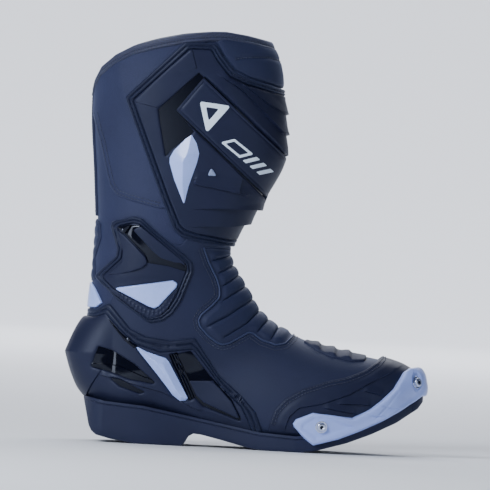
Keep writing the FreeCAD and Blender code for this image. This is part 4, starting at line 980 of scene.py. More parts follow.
# ------------------------------------------------------------------ ankle protectors
ANKLE_LEFT_FACET = [(-115, 180.5), (-107.5, 175.5), (-97, 166), (-89, 158), (-87.5, 153), (-92, 148.5), (-100, 145),
                    (-111, 142), (-121, 141), (-109, 153.5), (-108.5, 162)]
ANKLE_UPPER_FACET = [(-101, 180.5), (-94, 184), (-89, 180), (-58, 156), (-56.5, 151.5), (-77, 157.5), (-84, 163)]
ANKLE_CORNER = [(-113.5, 182), (-101.5, 185), (-107, 176.8)]
ANKLE_LOWER = [(-119, 132), (-117, 127.5), (-95, 112), (-83, 106.5), (-75, 109), (-69, 115), (-61, 133), (-62.5, 134),
               (-76.3, 116.5), (-80, 114), (-85, 115.2)]
ANKLE_MEDIAL = [(-128, 136), (-112, 121), (-97, 110), (-84, 103), (-72, 105), (-60, 120), (-52, 140), (-64, 150),
                (-88, 153), (-112, 150)]
ANKLE_MEDIAL_INNER = [(-118, 136), (-108, 124), (-95, 114), (-84, 109), (-75, 111), (-67, 122), (-61, 137),
                      (-69, 144), (-88, 147), (-107, 144)]


def make_ankle():
    outer, inner = trace(ANKLE_OUTER, 4.0, closed=True), trace(ANKLE_INNER, 3.0, closed=True)
    piece = panel("ankle_piping_pair", outer, PIPING, two_cords(1.35, 1.7), [inner], 0.7, 0.5)
    finished(piece, "shaft", ("ankle_piping",))
    triangle = trace(ANKLE_TRIANGLE, 2.0, closed=True)
    pan = lambda d, x, z, v, t, g: 2.2 * round_edge(d, 0.8, 0.5) + 0.6 * ease(2, 9, d)
    piece = panel("ankle_shell", inner, SHELL, pan, [triangle], 1.3, 0.9)
    finished(piece, "shaft", ("ankle_protector",))
    ridge = [(-103, 184), (-107.5, 176.5), (-90.5, 160), (-87, 153), (-72, 151.5), (-55.5, 147.5), (-55.5, 152.5),
             (-62, 158.5), (-95.5, 184.5)]
    piece = panel("ankle_ridge", trace(ridge, 2.0, closed=True), GLOSS,
                  lambda d, x, z, v, t, g: 2.6 + 0.9 * round_edge(d, 2.2, 0.1), (), 1.1, 1.6, under=1.2)
    finished(piece, "shaft")
    tilt = lambda d, x, z, v, t, g: (3.2 + 1.9 * ease(-116, -90, x)) * round_edge(d, 1.0, 0.55)
    piece = panel("ankle_left_facet", trace(ANKLE_LEFT_FACET, 2.5, closed=True), SHELL, tilt, (), 1.2, 0.9, under=1.0)
    finished(piece, "shaft")
    tilt = lambda d, x, z, v, t, g: (3.4 + 1.6 * ease(150, 182, z)) * round_edge(d, 0.9, 0.6)
    piece = panel("ankle_upper_facet", trace(ANKLE_UPPER_FACET, 2.5, closed=True), SHELL, tilt, (), 1.2, 0.8,
                  under=1.0)
    finished(piece, "shaft")
    piece = panel("ankle_corner", trace(ANKLE_CORNER, 0.8, closed=True), GLOSS,
                  lambda d, x, z, v, t, g: 3.4 + 0.5 * d + 0.16 * (x + 113), (), 0.8, 0.5, under=1.0, sharp=20)
    finished(piece, "shaft")
    studs = stud_lift([(-111.5, 126), (-96, 115.2), (-85, 110.5), (-77, 111.5), (-70.5, 118), (-63.2, 132.5)], 3.6)
    piece = panel("ankle_lower_rim", trace(ANKLE_LOWER, 1.5, closed=True), SHELL,
                  lambda d, x, z, v, t, g: 3.3 * round_edge(d, 0.8, 0.6) + studs(x, z), (), 0.7, 0.7, under=1.0)
    finished(piece, "shaft")
    crown = lambda d, x, z, v, t, g: 4.0 * round_edge(d, 1.3, 0.5) + 0.05 * d
    piece = panel("ankle_pale_triangle", triangle, PALE, crown, (), 1.1, 1.2)
    finished(piece, "shaft", ("ankle_triangle",))
    outer, inner = (trace(outline, 7.0, MEDIAL, closed=True) for outline in (ANKLE_MEDIAL, ANKLE_MEDIAL_INNER))
    piece = panel("ankle_piping_inner", outer, PIPING, two_cords(1.35, 1.5), [inner], 0.9, 0.5)
    finished(piece, "shaft")
    dome = lambda d, x, z, v, t, g: (2.9 * round_edge(d, 2.0, 0.3) + groove(x, z, [(-108, 140), (-66, 128)], 0.8, 1.1)
                                     + groove(x, z, [(-98, 122), (-74, 142)], 0.5, 0.9))
    piece = panel("ankle_shell_inner", inner, SHELL, dome, (), 1.4, 1.8)
    finished(piece, "shaft", ("ankle_protector_medial",))


def stud_lift(line, pitch, radius=1.15, height=0.6):
    """Two staggered rows of small domes along a side-view line."""
    spots = []
    for shift in (-1.1, 1.1):
        placed, _ = evenly(dense(shifted(line, shift), 0.5), pitch)
        spots += list(placed + (0 if shift < 0 else np.array([pitch / 3, 0])))

    def lift(x, z):
        away = np.min([np.hypot(x - a, z - b) for a, b in spots], axis=0)
        return height * np.sqrt(np.clip(1 - (away / radius) ** 2, 0, 1))
    return lift


# ------------------------------------------------------------------ foot: instep, vamp, heel and toe
INSTEP_GROOVES = [
    [(-36, 157), (-19, 163), (-6, 167)], [(-29, 146.5), (-17.5, 153.5), (-6, 161)],
    [(-26.5, 134.5), (-12, 145.5), (-2, 154)], [(-24, 123.5), (-5, 137), (4, 144)],
    [(-37, 100.5), (-18.5, 111.5), (1, 126), (10, 134)], [(-20, 93.5), (-2, 105.5), (7.5, 116.5), (16, 127)],
    [(5, 96), (15, 108.5), (22, 118)], [(18, 90.5), (25, 103.5), (29, 112)],
]
WING_LEFT = [(-54, 178), (-60, 170), (-78, 167), (-106, 141), (-116, 123), (-119, 113.5)]
WING_LEFT_MEDIAL = [(-52, 176), (-60, 166), (-84, 158), (-110, 147), (-121, 130), (-122, 113.5)]
BAND_MIDDLE = [(-115.5, 111.5), (-103, 96.5), (-90, 87.5), (-70, 83.5), (-46, 87), (-36, 76), (-21, 56.5), (0, 40),
               (9, 26), (13.5, 14)]
VAMP_FRONT = [(24, 10.5), (26, 22), (29, 33), (37, 41), (50, 49), (70, 56.5), (86, 60.5), (103, 67), (112, 71.5),
              (118, 79)]


def make_instep():
    """The stretch panel over the instep: rounded ribs between sewn grooves, inside a flat sewn border."""
    path = trace(INSTEP, 3.0)
    def ribs(d, x, z, v, t, g):
        away = np.min([np.abs(beside(x, z, line)[0]) for line in INSTEP_GROOVES], axis=0)
        roll = np.sqrt(1 - (1 - np.clip(away / 5.0, 0, 1)) ** 2)
        border = ease(1.5, 7.0, d)
        return (0.5 + 0.4 * (1 - border) + 2.3 * roll * border) * round_edge(d, 0.8, 0.5)
    creases = [over_front(line, 1.0) for line in INSTEP_GROOVES]
    piece = panel("instep_ribs", joined(path, mirrored(path)[1:-1]), RIBBED, ribs, (), 1.25, 0.9, creases=creases)
    finished(piece, replaces=("instep_flex_panel",), flexes=True)
    rim = over_front(INSTEP[1:], 3.0)
    cord = tube("instep_cord", surface(*even_places(rim, 1.2).T, 1.35), 0.75, TRIM, sides=8)
    finished(cord, flexes=True)


def even_places(path, pitch):
    """Places at an even pitch along a path."""
    scale = scales(path)
    points = dense(path * scale, 0.3)
    run = np.concatenate([[0], np.cumsum(np.linalg.norm(np.diff(points, axis=0), axis=1))])
    at = np.linspace(0, run[-1], max(3, int(run[-1] / pitch)))
    return np.stack([np.interp(at, run, points[:, k]) for k in range(2)], 1) / scale


def make_vamp():
    """The one large smooth piece: over the toes, along both sides of the foot and up behind the instep panel."""
    front = over_front(VAMP_FRONT, 3.0)
    band = trace(BAND_MIDDLE, 3.0)
    border = trace(INSTEP, 3.0)
    inner_left = trace(WING_LEFT_MEDIAL, 4.0, MEDIAL, rear=True)
    inner_left[:, 1] -= 2 * PI
    loop = joined(trace(WING_LEFT, 4.0), band, front, mirrored(band), inner_left[::-1], mirrored(border)[::-1],
                  border[::-1][1:])
    creases = lambda x, z: 0.28 * np.sin(x * 0.05 + z * 0.11) * np.sin(z * 0.05 + 1.0)
    lift = lambda d, x, z, v, t, g: 1.05 * round_edge(d, 1.0, 0.35) + creases(x, z) * ease(0, 12, d)
    piece = panel("vamp_leather", loop, SMOOTH, lift, (), 1.9, 1.0)
    finished(piece, replaces=("vamp",), flexes=True)
    rows = [over_front(shifted(INSTEP[1:-1], inset), 3.0) for inset in (1.9, 4.4)]
    finished(stitches("instep_stitches", rows, THREAD, 1.2, 3.0, 2.2, 0.36), flexes=True)
    rows = [mirrored(trace(shifted(WING_LEFT_MEDIAL[2:-1], -inset), 4.0)) for inset in (1.8, 4.4)]
    finished(stitches("wing_stitches", rows, THREAD, 1.2, 3.0, 2.2, 0.36), flexes=True)


HEEL_BAND_TOP = [(-138, 111.5), (-128, 112), (-123, 115), (-119.5, 117), (-116, 115.5), (-99.5, 97), (-86, 91),
                 (-64.5, 88.5), (-45, 92), (-38, 82), (-23, 61.5), (-2, 44.5), (9.5, 32.5), (18, 13)]
HEEL_BAND_LOW = [(-138, 105), (-128, 105), (-120, 108.5), (-108, 96), (-94.5, 84), (-72.5, 78), (-46, 82),
                 (-33, 67.5), (-20, 51.5), (-2, 35.5), (9.5, 15)]
HEEL_EDGE = [(-118.5, 106), (-107.5, 94.5), (-96.5, 85), (-91.5, 82.5), (-95.5, 80.5), (-103.5, 86.5), (-113, 97.5)]
RECESS_LEDGE = [(-126, 66.5), (-108, 65.5), (-84, 56.5)]
CUP_RIDGE = [(-132, 37), (-121.5, 57), (-100, 52), (-70, 45.5), (-40, 33)]
RIB_STRIP = [(-65.5, 77), (-59, 78), (-47.2, 56), (-40.5, 42.5), (-46.5, 39.5)]
QUARTER_FACET = [(-48.5, 55.5), (-27.5, 56.5), (-11, 40), (-2, 25.5), (-34, 37.5), (-41, 43)]


def between(one, other, count):
    """Lines between two paths, evenly spread from the one to the other."""
    share = np.linspace(0, 1, 60)
    paths = []
    for path in (one, other):
        run = np.concatenate([[0], np.cumsum(np.linalg.norm(np.diff(path, axis=0) * scales(path), axis=1))])
        paths.append(np.stack([np.interp(share * run[-1], run, path[:, k]) for k in range(2)], 1))
    return [paths[0] * (1 - k / count) + paths[1] * k / count for k in range(1, count)]


def heel_bulge(x, z):
    """How far the cup stands out behind the heel, most at its apex."""
    above = np.clip((105.5 - z) / 31, 0, 1) ** 0.7
    below = np.clip((z - 36) / 38.5, 0, 1) ** 0.85
    return 14.5 * np.minimum(above, below) * np.clip((-113 - x) / 22, 0, 1) ** 1.1


def heel_relief(x, z):
    """The cup's facets: a crease behind the side facet, and a ledge under the upper recess."""
    back = step(x, z, CUP_RIDGE[:2], 1.3, 12.0, 0.01)
    ledge = step(x, z, CUP_RIDGE[1:], 1.3, 7.0, 0.05)
    return back + ledge


def make_heel():
    top, low = trace(HEEL_BAND_TOP, 2.5), trace(HEEL_BAND_LOW, 2.5)
    loop = joined(top, low[::-1], mirrored(low, True)[::-1][1:], mirrored(top, True)[:-1])
    rails = [joined(top[::-1], mirrored(top, True)[::-1]), joined(low[::-1], mirrored(low, True)[::-1])]
    cords = lambda d, x, z, v, t, g: (1.5 + 1.8 * twin(g)) * ease(-150, -118, x)
    piece = panel("heel_piping_pair", loop, PIPING, cords, (), 0.8, 0.5, rails=rails)
    finished(piece, "foot", ("heel_piping",))

    white, up, down = (trace(p, 1.2, closed=True) for p in (HEEL_WHITE, HEEL_GLOSS_UP, HEEL_GLOSS_LOW))
    strip, quarter = trace(RIB_STRIP, 1.0, closed=True), trace(QUARTER_GLOSS, 1.5, closed=True)
    cup = trace(HEEL_CUP, 2.0)
    holes = [hole for path in (white, up, down, strip, quarter) for hole in both(path, True)]
    lift = lambda d, x, z, v, t, g: (3.0 * round_edge(d, 1.4, 0.3) + heel_relief(x, z) * ease(0, 2, d)
                                     + heel_bulge(x, z))
    creases = [path for gap in (0.0, 0.5) for path in both(trace(shifted(CUP_RIDGE, gap), 0.5), True)]
    apex = over_back([(-100, 74.5), (-140, 74.5)], 0.5)
    piece = panel("heel_cup_shell", joined(cup, mirrored(cup, True)[1:-1]), SHELL, lift, holes, 1.5, 1.2,
                  creases=creases + [apex], sharp=30)
    finished(piece, "foot", ("heel_cup",))

    for side, label in enumerate(("outer", "inner")):
        bevel = lambda d, x, z, v, t, g: 2.6 + 1.5 * round_edge(d, 2.0, 0.0) + heel_bulge(x, z)
        edge = both(trace(HEEL_EDGE, 1.0, closed=True), True)[side]
        finished(panel(f"heel_edge_{label}", edge, GLOSS, bevel, (), 0.9, 1.4, under=1.0), "foot")
        pale = lambda d, x, z, v, t, g: 2.3 + 0.75 * np.minimum(d, 5.5)
        piece = panel(f"heel_blade_{label}", both(white, True)[side], PALE, pale, (), 0.9, 0.4, sharp=15)
        finished(piece, "foot", ("heel_white_inserts",))
        dish = lambda d, x, z, v, t, g: (0.7 + 0.9 * ease(76, 62, z) + 1.1 * ease(-112, -123, x) + heel_bulge(x, z)
                                         + 0.9 * ease(0.0, 0.7, -beside(x, z, RECESS_LEDGE)[0]))
        creases = [both(trace(shifted(RECESS_LEDGE, gap), 0.5), True)[side] for gap in (0.0, 0.7)]
        piece = panel(f"heel_recess_upper_{label}", both(up, True)[side], GLOSS, dish, (), 0.9, 0.4, under=-0.6,
                      creases=creases)
        finished(piece, "foot", ("heel_upper_gloss_inserts",))
        dish = lambda d, x, z, v, t, g: 0.8 + 1.6 * ease(-101, -113, x) + heel_bulge(x, z)
        piece = panel(f"heel_recess_lower_{label}", both(down, True)[side], GLOSS, dish, (), 0.8, 0.3, under=-0.6)
        finished(piece, "foot", ("heel_lower_gloss_inserts",))
        rails = [both(trace(rail), True)[side] for rail in (RIB_STRIP[::4], RIB_STRIP[1:4])]
        ribs = lambda d, x, z, v, t, g: 1.4 + 1.3 * np.abs(np.sin(3 * PI * g[0] / (g[0] + g[1]))) ** 0.7
        piece = panel(f"heel_ribs_{label}", both(strip, True)[side], GLOSS, ribs, (), 0.9, 0.3,
                      creases=between(*rails, 12), rails=rails)
        finished(piece, "foot")
        hollow = lambda d, x, z, v, t, g: 1.1 + 0.9 * ease(62, 79, z)
        piece = panel(f"quarter_recess_{label}", both(quarter, True)[side], GLOSS, hollow, (), 1.1, 0.4)
        finished(piece, "foot", ("quarter_gloss_panels",))
        facet = both(trace(QUARTER_FACET, 1.5, closed=True), True)[side]
        tilt = lambda d, x, z, v, t, g: 2.9 * round_edge(d, 0.9, 0.6) + 0.03 * (x + 30)
        piece = panel(f"quarter_facet_{label}", facet, SHELL, tilt, (), 1.2, 0.8, under=0.3)
        finished(piece, "foot")


TOE_SCULPT = [(34.5, 17), (36, 24), (38.2, 30.1), (45.6, 37.4), (65, 41.8), (87, 50.3), (101.2, 58.8), (120.3, 67.7),
              (134, 77)]
TOE_SLOTS = [[(98, 54.5), (116, 50.8)], [(76, 42.5), (107, 43)], [(64, 39), (95, 34.7)]]
SLIDER_DISH = [(48.2, 24.8), (58.2, 31.6), (73.3, 31), (94.7, 23.8), (61, 10.5), (47.6, 19.8)]
SLIDER_LINES = [[(107.7, 29.5), (127.7, 56)], [(112.7, 43.8), (130.5, 39)], [(104, 34), (120, 33)]]
SCREWS = [(65.5, 22.5), (144.6, 63.6)]
SLIDER_THICK, SCREW_SEAT = 5.2, 4.2
RIBS_OF_PAD = (59.0, 72.5, 85.5)


def moved(piece, shift):
    """Moves a piece's points by shift(x, z), which gives the way along x and the way up, in mm."""
    places = np.empty(len(piece.data.vertices) * 3)
    piece.data.vertices.foreach_get("co", places)
    places = places.reshape(-1, 3)
    along, up = shift(places[:, 0] / MM, places[:, 2] / MM)
    places[:, 0] += along * MM
    places[:, 2] += up * MM
    piece.data.vertices.foreach_set("co", places.ravel())
    piece.data.update()
    return piece


def fuller_toe(x, z):
    """The toe cap stands a little higher and further forward than the leather under it."""
    forward = 5.5 * ease(118, 142, x) * ease(60, 71, z)
    return forward, 2.6 * ease(92, 112, x) * ease(55, 78, z) * ease(150, 128, x)


def make_toe():
    top, feather = trace(TOE_LINE, 3.0), trace(FEATHER, 3.0)
    loop = joined(top, mirrored(top)[1:], mirrored(feather)[::-1], feather[::-1])
    def cap(d, x, z, v, t, g):
        sculpt = step(x, z, TOE_SCULPT, 1.1, 13.0, 0.05) * ease(4.5, 8.5, d)
        sculpt *= ease(1.0, 0.75, beside(x, z, TOE_SCULPT)[1])
        slots = sum(step(x, z, slot, 1.5, 6.0, 0.25) * ease(1.0, 0.85, beside(x, z, slot)[1]) for slot in TOE_SLOTS)
        return 1.9 * round_edge(d, 1.2, 0.4) + (sculpt + slots) * ease(0, 2, d)
    lines = [TOE_SCULPT] + TOE_SLOTS
    creases = [path for line in lines for gap in (0.0, 0.5) for path in both(trace(shifted(line, gap), 1.0))]
    piece = moved(panel("toe_cap", loop, SHELL, cap, (), 1.4, 1.0, creases=creases), fuller_toe)
    toe_cap = finished(piece, "foot", ("toe_rand",))
    rows = [over_front(shifted(TOE_LINE[1:], inset), 3.0) for inset in (1.8, 4.2)]
    piece = moved(stitches("toe_stitches", rows, THREAD, 2.05, 3.0, 2.2, 0.4), fuller_toe)
    finished(piece, "foot")

    path = trace(SHIFT_PAD, 2.0)
    def tread(d, x, z, v, t, g):
        teeth = sum(np.where(x < peak, ease(peak - 8, peak, x), ease(peak + 3.5, peak, x)) for peak in RIBS_OF_PAD)
        return 2.4 * round_edge(d, 1.4, 0.4) + 1.7 * np.clip(teeth, 0, 1) * ease(1.0, 3.0, d)
    creases = [over_front([(peak, 70), (peak + 3, 100)], 0.5) for peak in RIBS_OF_PAD]
    piece = panel("shift_pad_rubber", joined(path, mirrored(path)[1:-1]), RUBBER, tread, (), 1.1, 1.2,
                  creases=creases)
    finished(piece, "foot", ("shift_pad",))
    return toe_cap


# ------------------------------------------------------------------ screws and rivets
def frame_at(x, z, out, side=LATERAL):
    """A point over the outer side at (x, z), with the direction outwards there and two across it."""
    v, t = locate([(x, z)])[0]
    t = t if side == LATERAL else -t
    outward = normals(np.array([v]), np.array([t]))[0]
    across = unit(np.cross(outward, np.array([0.0, 1.0, 0.3])))
    return surface(np.array([v]), np.array([t]), np.array([out]))[0], outward, across, np.cross(outward, across)


def turned(name, places, profile, material, hexed=(), sides=48, sharp=35):
    """Round parts: a profile of (radius, height) about each place's outward direction. Rings in hexed are
    six-sided."""
    angles = np.linspace(0, 2 * PI, sides, endpoint=False)
    six = math.cos(PI / 6) / np.cos((angles + PI / 6) % (PI / 3) - PI / 6)
    points, faces = [], []
    for centre, outward, across, up in places:
        first = len(points)
        for number, (radius, height) in enumerate(profile):
            radii = radius * (six if number in hexed else np.ones(sides))
            for angle, r in zip(angles, radii):
                points.append(centre + outward * height + (across * math.cos(angle) + up * math.sin(angle)) * r)
        for ring in range(len(profile) - 1):
            for k in range(sides):
                a, b = first + ring * sides + k, first + ring * sides + (k + 1) % sides
                faces.append([a, b, b + sides, a + sides])
        last = first + (len(profile) - 1) * sides
        faces += [[first + k for k in range(sides)][::-1], [last + k for k in range(sides)]]
    return new_object(name, points, faces, material, sharp)


class Wrap:
    """A smooth surface over finished pieces, for what is bolted over the toe cap and the sole together. Its places
    are mm along the side and round the tip, and mm up the side; rays to the middle of the foot find it. Past TURN
    along x the rays turn about a point, with ROUND mm to the radian, and FAR is where they start."""
    TURN, MIDDLE, UP, ROUND, CELL, FAR, DEEPEST = 108.0, 5.0, 36.0, 42.0, 1.5, 90, 78

    def __init__(self, pieces):
        trees = [BVHTree.FromPolygons([corner.co / MM for corner in piece.data.vertices],
                                      [tuple(face.vertices) for face in piece.data.polygons]) for piece in pieces]
        self.along, self.slope = np.arange(-78, 106, self.CELL), np.arange(-42, 52, self.CELL)
        self.table = np.zeros((len(self.along), len(self.slope)))
        for i, a in enumerate(self.along):
            for j, e in enumerate(self.slope):
                centre, way = (Vector(part) for part in self.ray(a, e))
                hits = [tree.ray_cast(centre + way * self.FAR, -way)[3] for tree in trees]
                reached = [self.FAR - hit for hit in hits if hit is not None and hit < self.DEEPEST]
                self.table[i, j] = max(reached or [40.0])
        for _ in range(5):
            for axis in (0, 1):
                self.table = np.apply_along_axis(
                    lambda row: np.convolve(np.pad(row, 1, "edge"), (0.25, 0.5, 0.25), "valid"), axis, self.table)

    def ray(self, a, e):
        a, e = np.broadcast_arrays(np.asarray(a, float), np.asarray(e, float))
        turn, lean = np.maximum(a, 0) / self.ROUND, e / self.ROUND
        centre = np.stack([self.TURN + np.minimum(a, 0), np.full(a.shape, self.MIDDLE), np.full(a.shape, self.UP)],
                          -1)
        way = np.stack([np.cos(lean) * np.sin(turn), -np.cos(lean) * np.cos(turn), np.sin(lean)], -1)
        return centre, way

    def reach(self, a, e):
        found = 0.0
        for da, de in ((0.4, 0.4), (0.4, -0.4), (-0.4, 0.4), (-0.4, -0.4)):
            i = np.clip((a - self.along[0]) / self.CELL + da, 0, len(self.along) - 1.001)
            j = np.clip((e - self.slope[0]) / self.CELL + de, 0, len(self.slope) - 1.001)
            m, n = i.astype(int), j.astype(int)
            k, l = i - m, j - n
            found += ((1 - k) * (1 - l) * self.table[m, n] + k * (1 - l) * self.table[m + 1, n]
                      + (1 - k) * l * self.table[m, n + 1] + k * l * self.table[m + 1, n + 1]) / 4
        return found

    def ground(self, a, e):
        centre, way = self.ray(a, e)
        return centre + way * self.reach(np.asarray(a, float), np.asarray(e, float))[..., None]

    def __call__(self, a, e, out=0.0):
        a, e = np.asarray(a, float), np.asarray(e, float)
        away = unit(np.cross(self.ground(a + 1.2, e) - self.ground(a - 1.2, e),
                             self.ground(a, e + 1.2) - self.ground(a, e - 1.2)))
        return self.ground(a, e) + away * np.broadcast_to(out, a.shape)[..., None]

    def find(self, points, out=5.0):
        """The places that show at each (x, z) in the side view, for something this far out."""
        target = np.asarray(points, float)
        a, e = (grid.ravel() for grid in np.meshgrid(self.along[self.along < 64], self.slope[4:-4], indexing="ij"))
        seen = self(a, e, out)
        a, e, seen = (part[seen[:, 1] < self.MIDDLE] for part in (a, e, seen[:, [0, 2]]))
        first = ((target[:, None] - seen[None]) ** 2).sum(-1).argmin(1)
        a, e = a[first], e[first]
        for _ in range(6):
            here = self(a, e, out)[:, [0, 2]]
            by_a, by_e = (self(a + 0.5, e, out)[:, [0, 2]] - here) * 2, (self(a, e + 0.5, out)[:, [0, 2]] - here) * 2
            area = by_a[:, 0] * by_e[:, 1] - by_a[:, 1] * by_e[:, 0]
            area = np.where(np.abs(area) < 0.15, np.where(area < 0, -0.15, 0.15), area)
            miss = target - here
            a = a + np.clip((miss[:, 0] * by_e[:, 1] - miss[:, 1] * by_e[:, 0]) / area, -2, 2)
            e = e + np.clip((miss[:, 1] * by_a[:, 0] - miss[:, 0] * by_a[:, 1]) / area, -2, 2)
        return np.stack([a, e], 1)

    def frame(self, place, out):
        """A point over the surface, with the direction outwards there and two across it."""
        a, e = place
        low, high = self(np.array([a]), np.array([e]))[0], self(np.array([a]), np.array([e]), np.array([1.0]))[0]
        outward = high - low
        across = unit(np.cross(outward, np.array([0.0, 1.0, 0.3])))
        return low + outward * out, outward, across, np.cross(outward, across)


def make_slider(wrap):
    top, low = (wrap.find(dense(rounded(line, 1.5), 1.0)) for line in (TOE_SLIDER, TOE_SLIDER_LOW))
    high, under = top[-1, 1], low[0, 1]
    tip = np.array([(top[-1, 0] + 8, high - 0.5), (80, high - 4), (87, high - 12), (87, under + 8), (81, under + 1),
                    (72, under - 0.5)])
    seats = wrap.find(SCREWS, SCREW_SEAT + 0.3)
    def slider(d, x, z, v, t, g):
        dish = 1.1 * ease(0, 2.4, within(x, z, SLIDER_DISH))
        marks = sum(groove(x, z, line, 0.5, 0.6) for line in SLIDER_LINES)
        seat = sum(ease(6.4, 5.7, np.hypot(v - a, t - e)) for a, e in seats)
        nose = (0.7 * ease(54, 64, z) - 2.8 * ease(60, 49, z)) * ease(125, 145, x)
        height = SLIDER_THICK - dish + marks + nose
        return (height + (SCREW_SEAT - height) * np.clip(seat, 0, 1)) * round_edge(d, 2.0, 0.4)
    marks = [wrap.find(dense(shifted(line, gap), 1.0)) for line in SLIDER_LINES for gap in (-0.6, 0.0, 0.6)]
    loop = joined(top, rounded(tip, 3.0), low)
    piece = panel("toe_slider_plate", loop, SLIDER, slider, (), 1.0, 1.8, creases=marks, sharp=35, on=wrap)
    finished(piece, "foot", ("toe_slider",))


def make_screws(wrap):
    places = [wrap.frame(place, SCREW_SEAT + 0.05) for place in wrap.find(SCREWS, SCREW_SEAT + 0.3)]
    washer = [(2.3, -0.6), (5.0, -0.6), (5.2, -0.4), (5.2, 0.6), (5.0, 0.8), (2.3, 0.8)]
    finished(turned("slider_washers", places, washer, CHROME), "foot", ("toe_slider_washers",))
    head = [(2.0, -11.0), (2.0, 0.8), (3.7, 0.8), (3.9, 1.0), (3.9, 2.5), (3.75, 2.9), (3.4, 3.2), (2.9, 3.4),
            (1.95, 3.4), (1.8, 3.3), (1.7, 1.6), (0.2, 1.5)]
    piece = turned("slider_screws", places, head, CHROME, hexed=(8, 9, 10, 11))
    finished(piece, "foot", ("toe_slider_screws",))
    # a dark hex disc on each socket's floor: painted shade inside the sockets, not a part of the screw
    floor = [(1.6, 1.62), (1.6, 1.72), (0.2, 1.72)]
    finished(turned("socket_painted_shade", places, floor, SOCKET_SHADE, hexed=(0, 1, 2)), "foot")
    cap = [(1.9, -1.5), (1.9, 0.3), (1.8, 0.7), (1.4, 1.05), (0.7, 1.25), (0.1, 1.3)]
    rivets = [frame_at(-108.6, 179.4, 4.2)]
    finished(turned("ankle_rivet", rivets, cap, LACQUER, sides=24), "shaft")
    rivets = [frame_at(-100.5, 87.5, 2.9), frame_at(20.5, 13.5, 2.2)]
    rivets += [frame_at(-100.5, 87.5, 2.9, MEDIAL), frame_at(20.5, 13.5, 2.2, MEDIAL)]
    finished(turned("foot_rivets", rivets, cap, LACQUER, sides=24), "foot")


# ------------------------------------------------------------------ sole and footbed
SOLE_UNDER = [(-137, 37), (-134.5, 27.5), (-131, 13.5), (-128.5, 9), (-124.5, 6), (-112, 3), (-92, 0), (-51.5, 0),
              (-49, 3), (-46, 8.5), (-42, 11), (-35.5, 10.5), (-14.5, 6), (6, 1.2), (15, 0), (48, 0), (60, 1.6),
              (87, 9.5), (108, 18), (129, 28.5), (147, 41), (152, 48)]
SOLE_TOP = [(-137, 37.5), (-131, 36.5), (-118, 34), (-85, 31.5), (-50, 25.5), (-18, 20), (14, 14.5), (44, 12.8),
            (70, 15), (94, 22), (114, 32), (130, 42), (142, 51), (152, 58)]
SOLE_HALF = [(-118, 36.5), (-85, 38.4), (-50, 36.0), (-18, 37.5), (14, 43.5), (44, 47.8), (70, 47.2), (94, 43.4),
             (114, 37.0), (130, 28.5), (142, 18.5)]
SOLE_MIDDLE = [(-118, 0), (14, -1), (44, -1.5), (70, 0.5), (94, 3), (114, 5.5), (130, 8), (142, 9.5), (152, 10)]
SOLE_MARGIN, HEEL_END, TOE_END = 3.2, -137.0, 151.6
# tread: the first and last groove and the pitch between them
HEEL_TREAD, BALL_TREAD, GROOVE_WIDTH, GROOVE_DEPTH, TREAD_HALF = (-112, -58, 9), (8, 78, 10), 3.0, 2.2, 25.0
FOOTBED_INSET, FOOTBED_TOP, FOOTBED_UNDER = 12.5, 9.2, 5.6


def along_x(table, x):
    table = np.array(table, float)
    return np.interp(x, table[:, 0], table[:, 1])


def sole_half(x):
    table = np.array(SOLE_HALF)
    spline = smooth_through(table[:, 0], table[:, 1:])
    half = spline(np.clip(x, -118, 142))[..., 0] + SOLE_MARGIN
    heel = np.sqrt(np.clip(1 - ((-118 - x) / (-118 - HEEL_END)) ** 2, 0.002, 1))
    toe = np.sqrt(np.clip(1 - ((x - 142) / (TOE_END - 142)) ** 2, 0.002, 1))
    return half * np.where(x < -118, heel, np.where(x > 142, toe, 1.0))


def sole_groove(x, y):
    """How deep the tread is cut at each point of the underside."""
    cut = np.zeros_like(y)
    for first, last, pitch in (HEEL_TREAD, BALL_TREAD):
        for start in np.arange(first, last + 0.1, pitch):
            cut = np.where((x > start) & (x < start + GROOVE_WIDTH) & (np.abs(y) < TREAD_HALF), GROOVE_DEPTH, cut)
    return cut


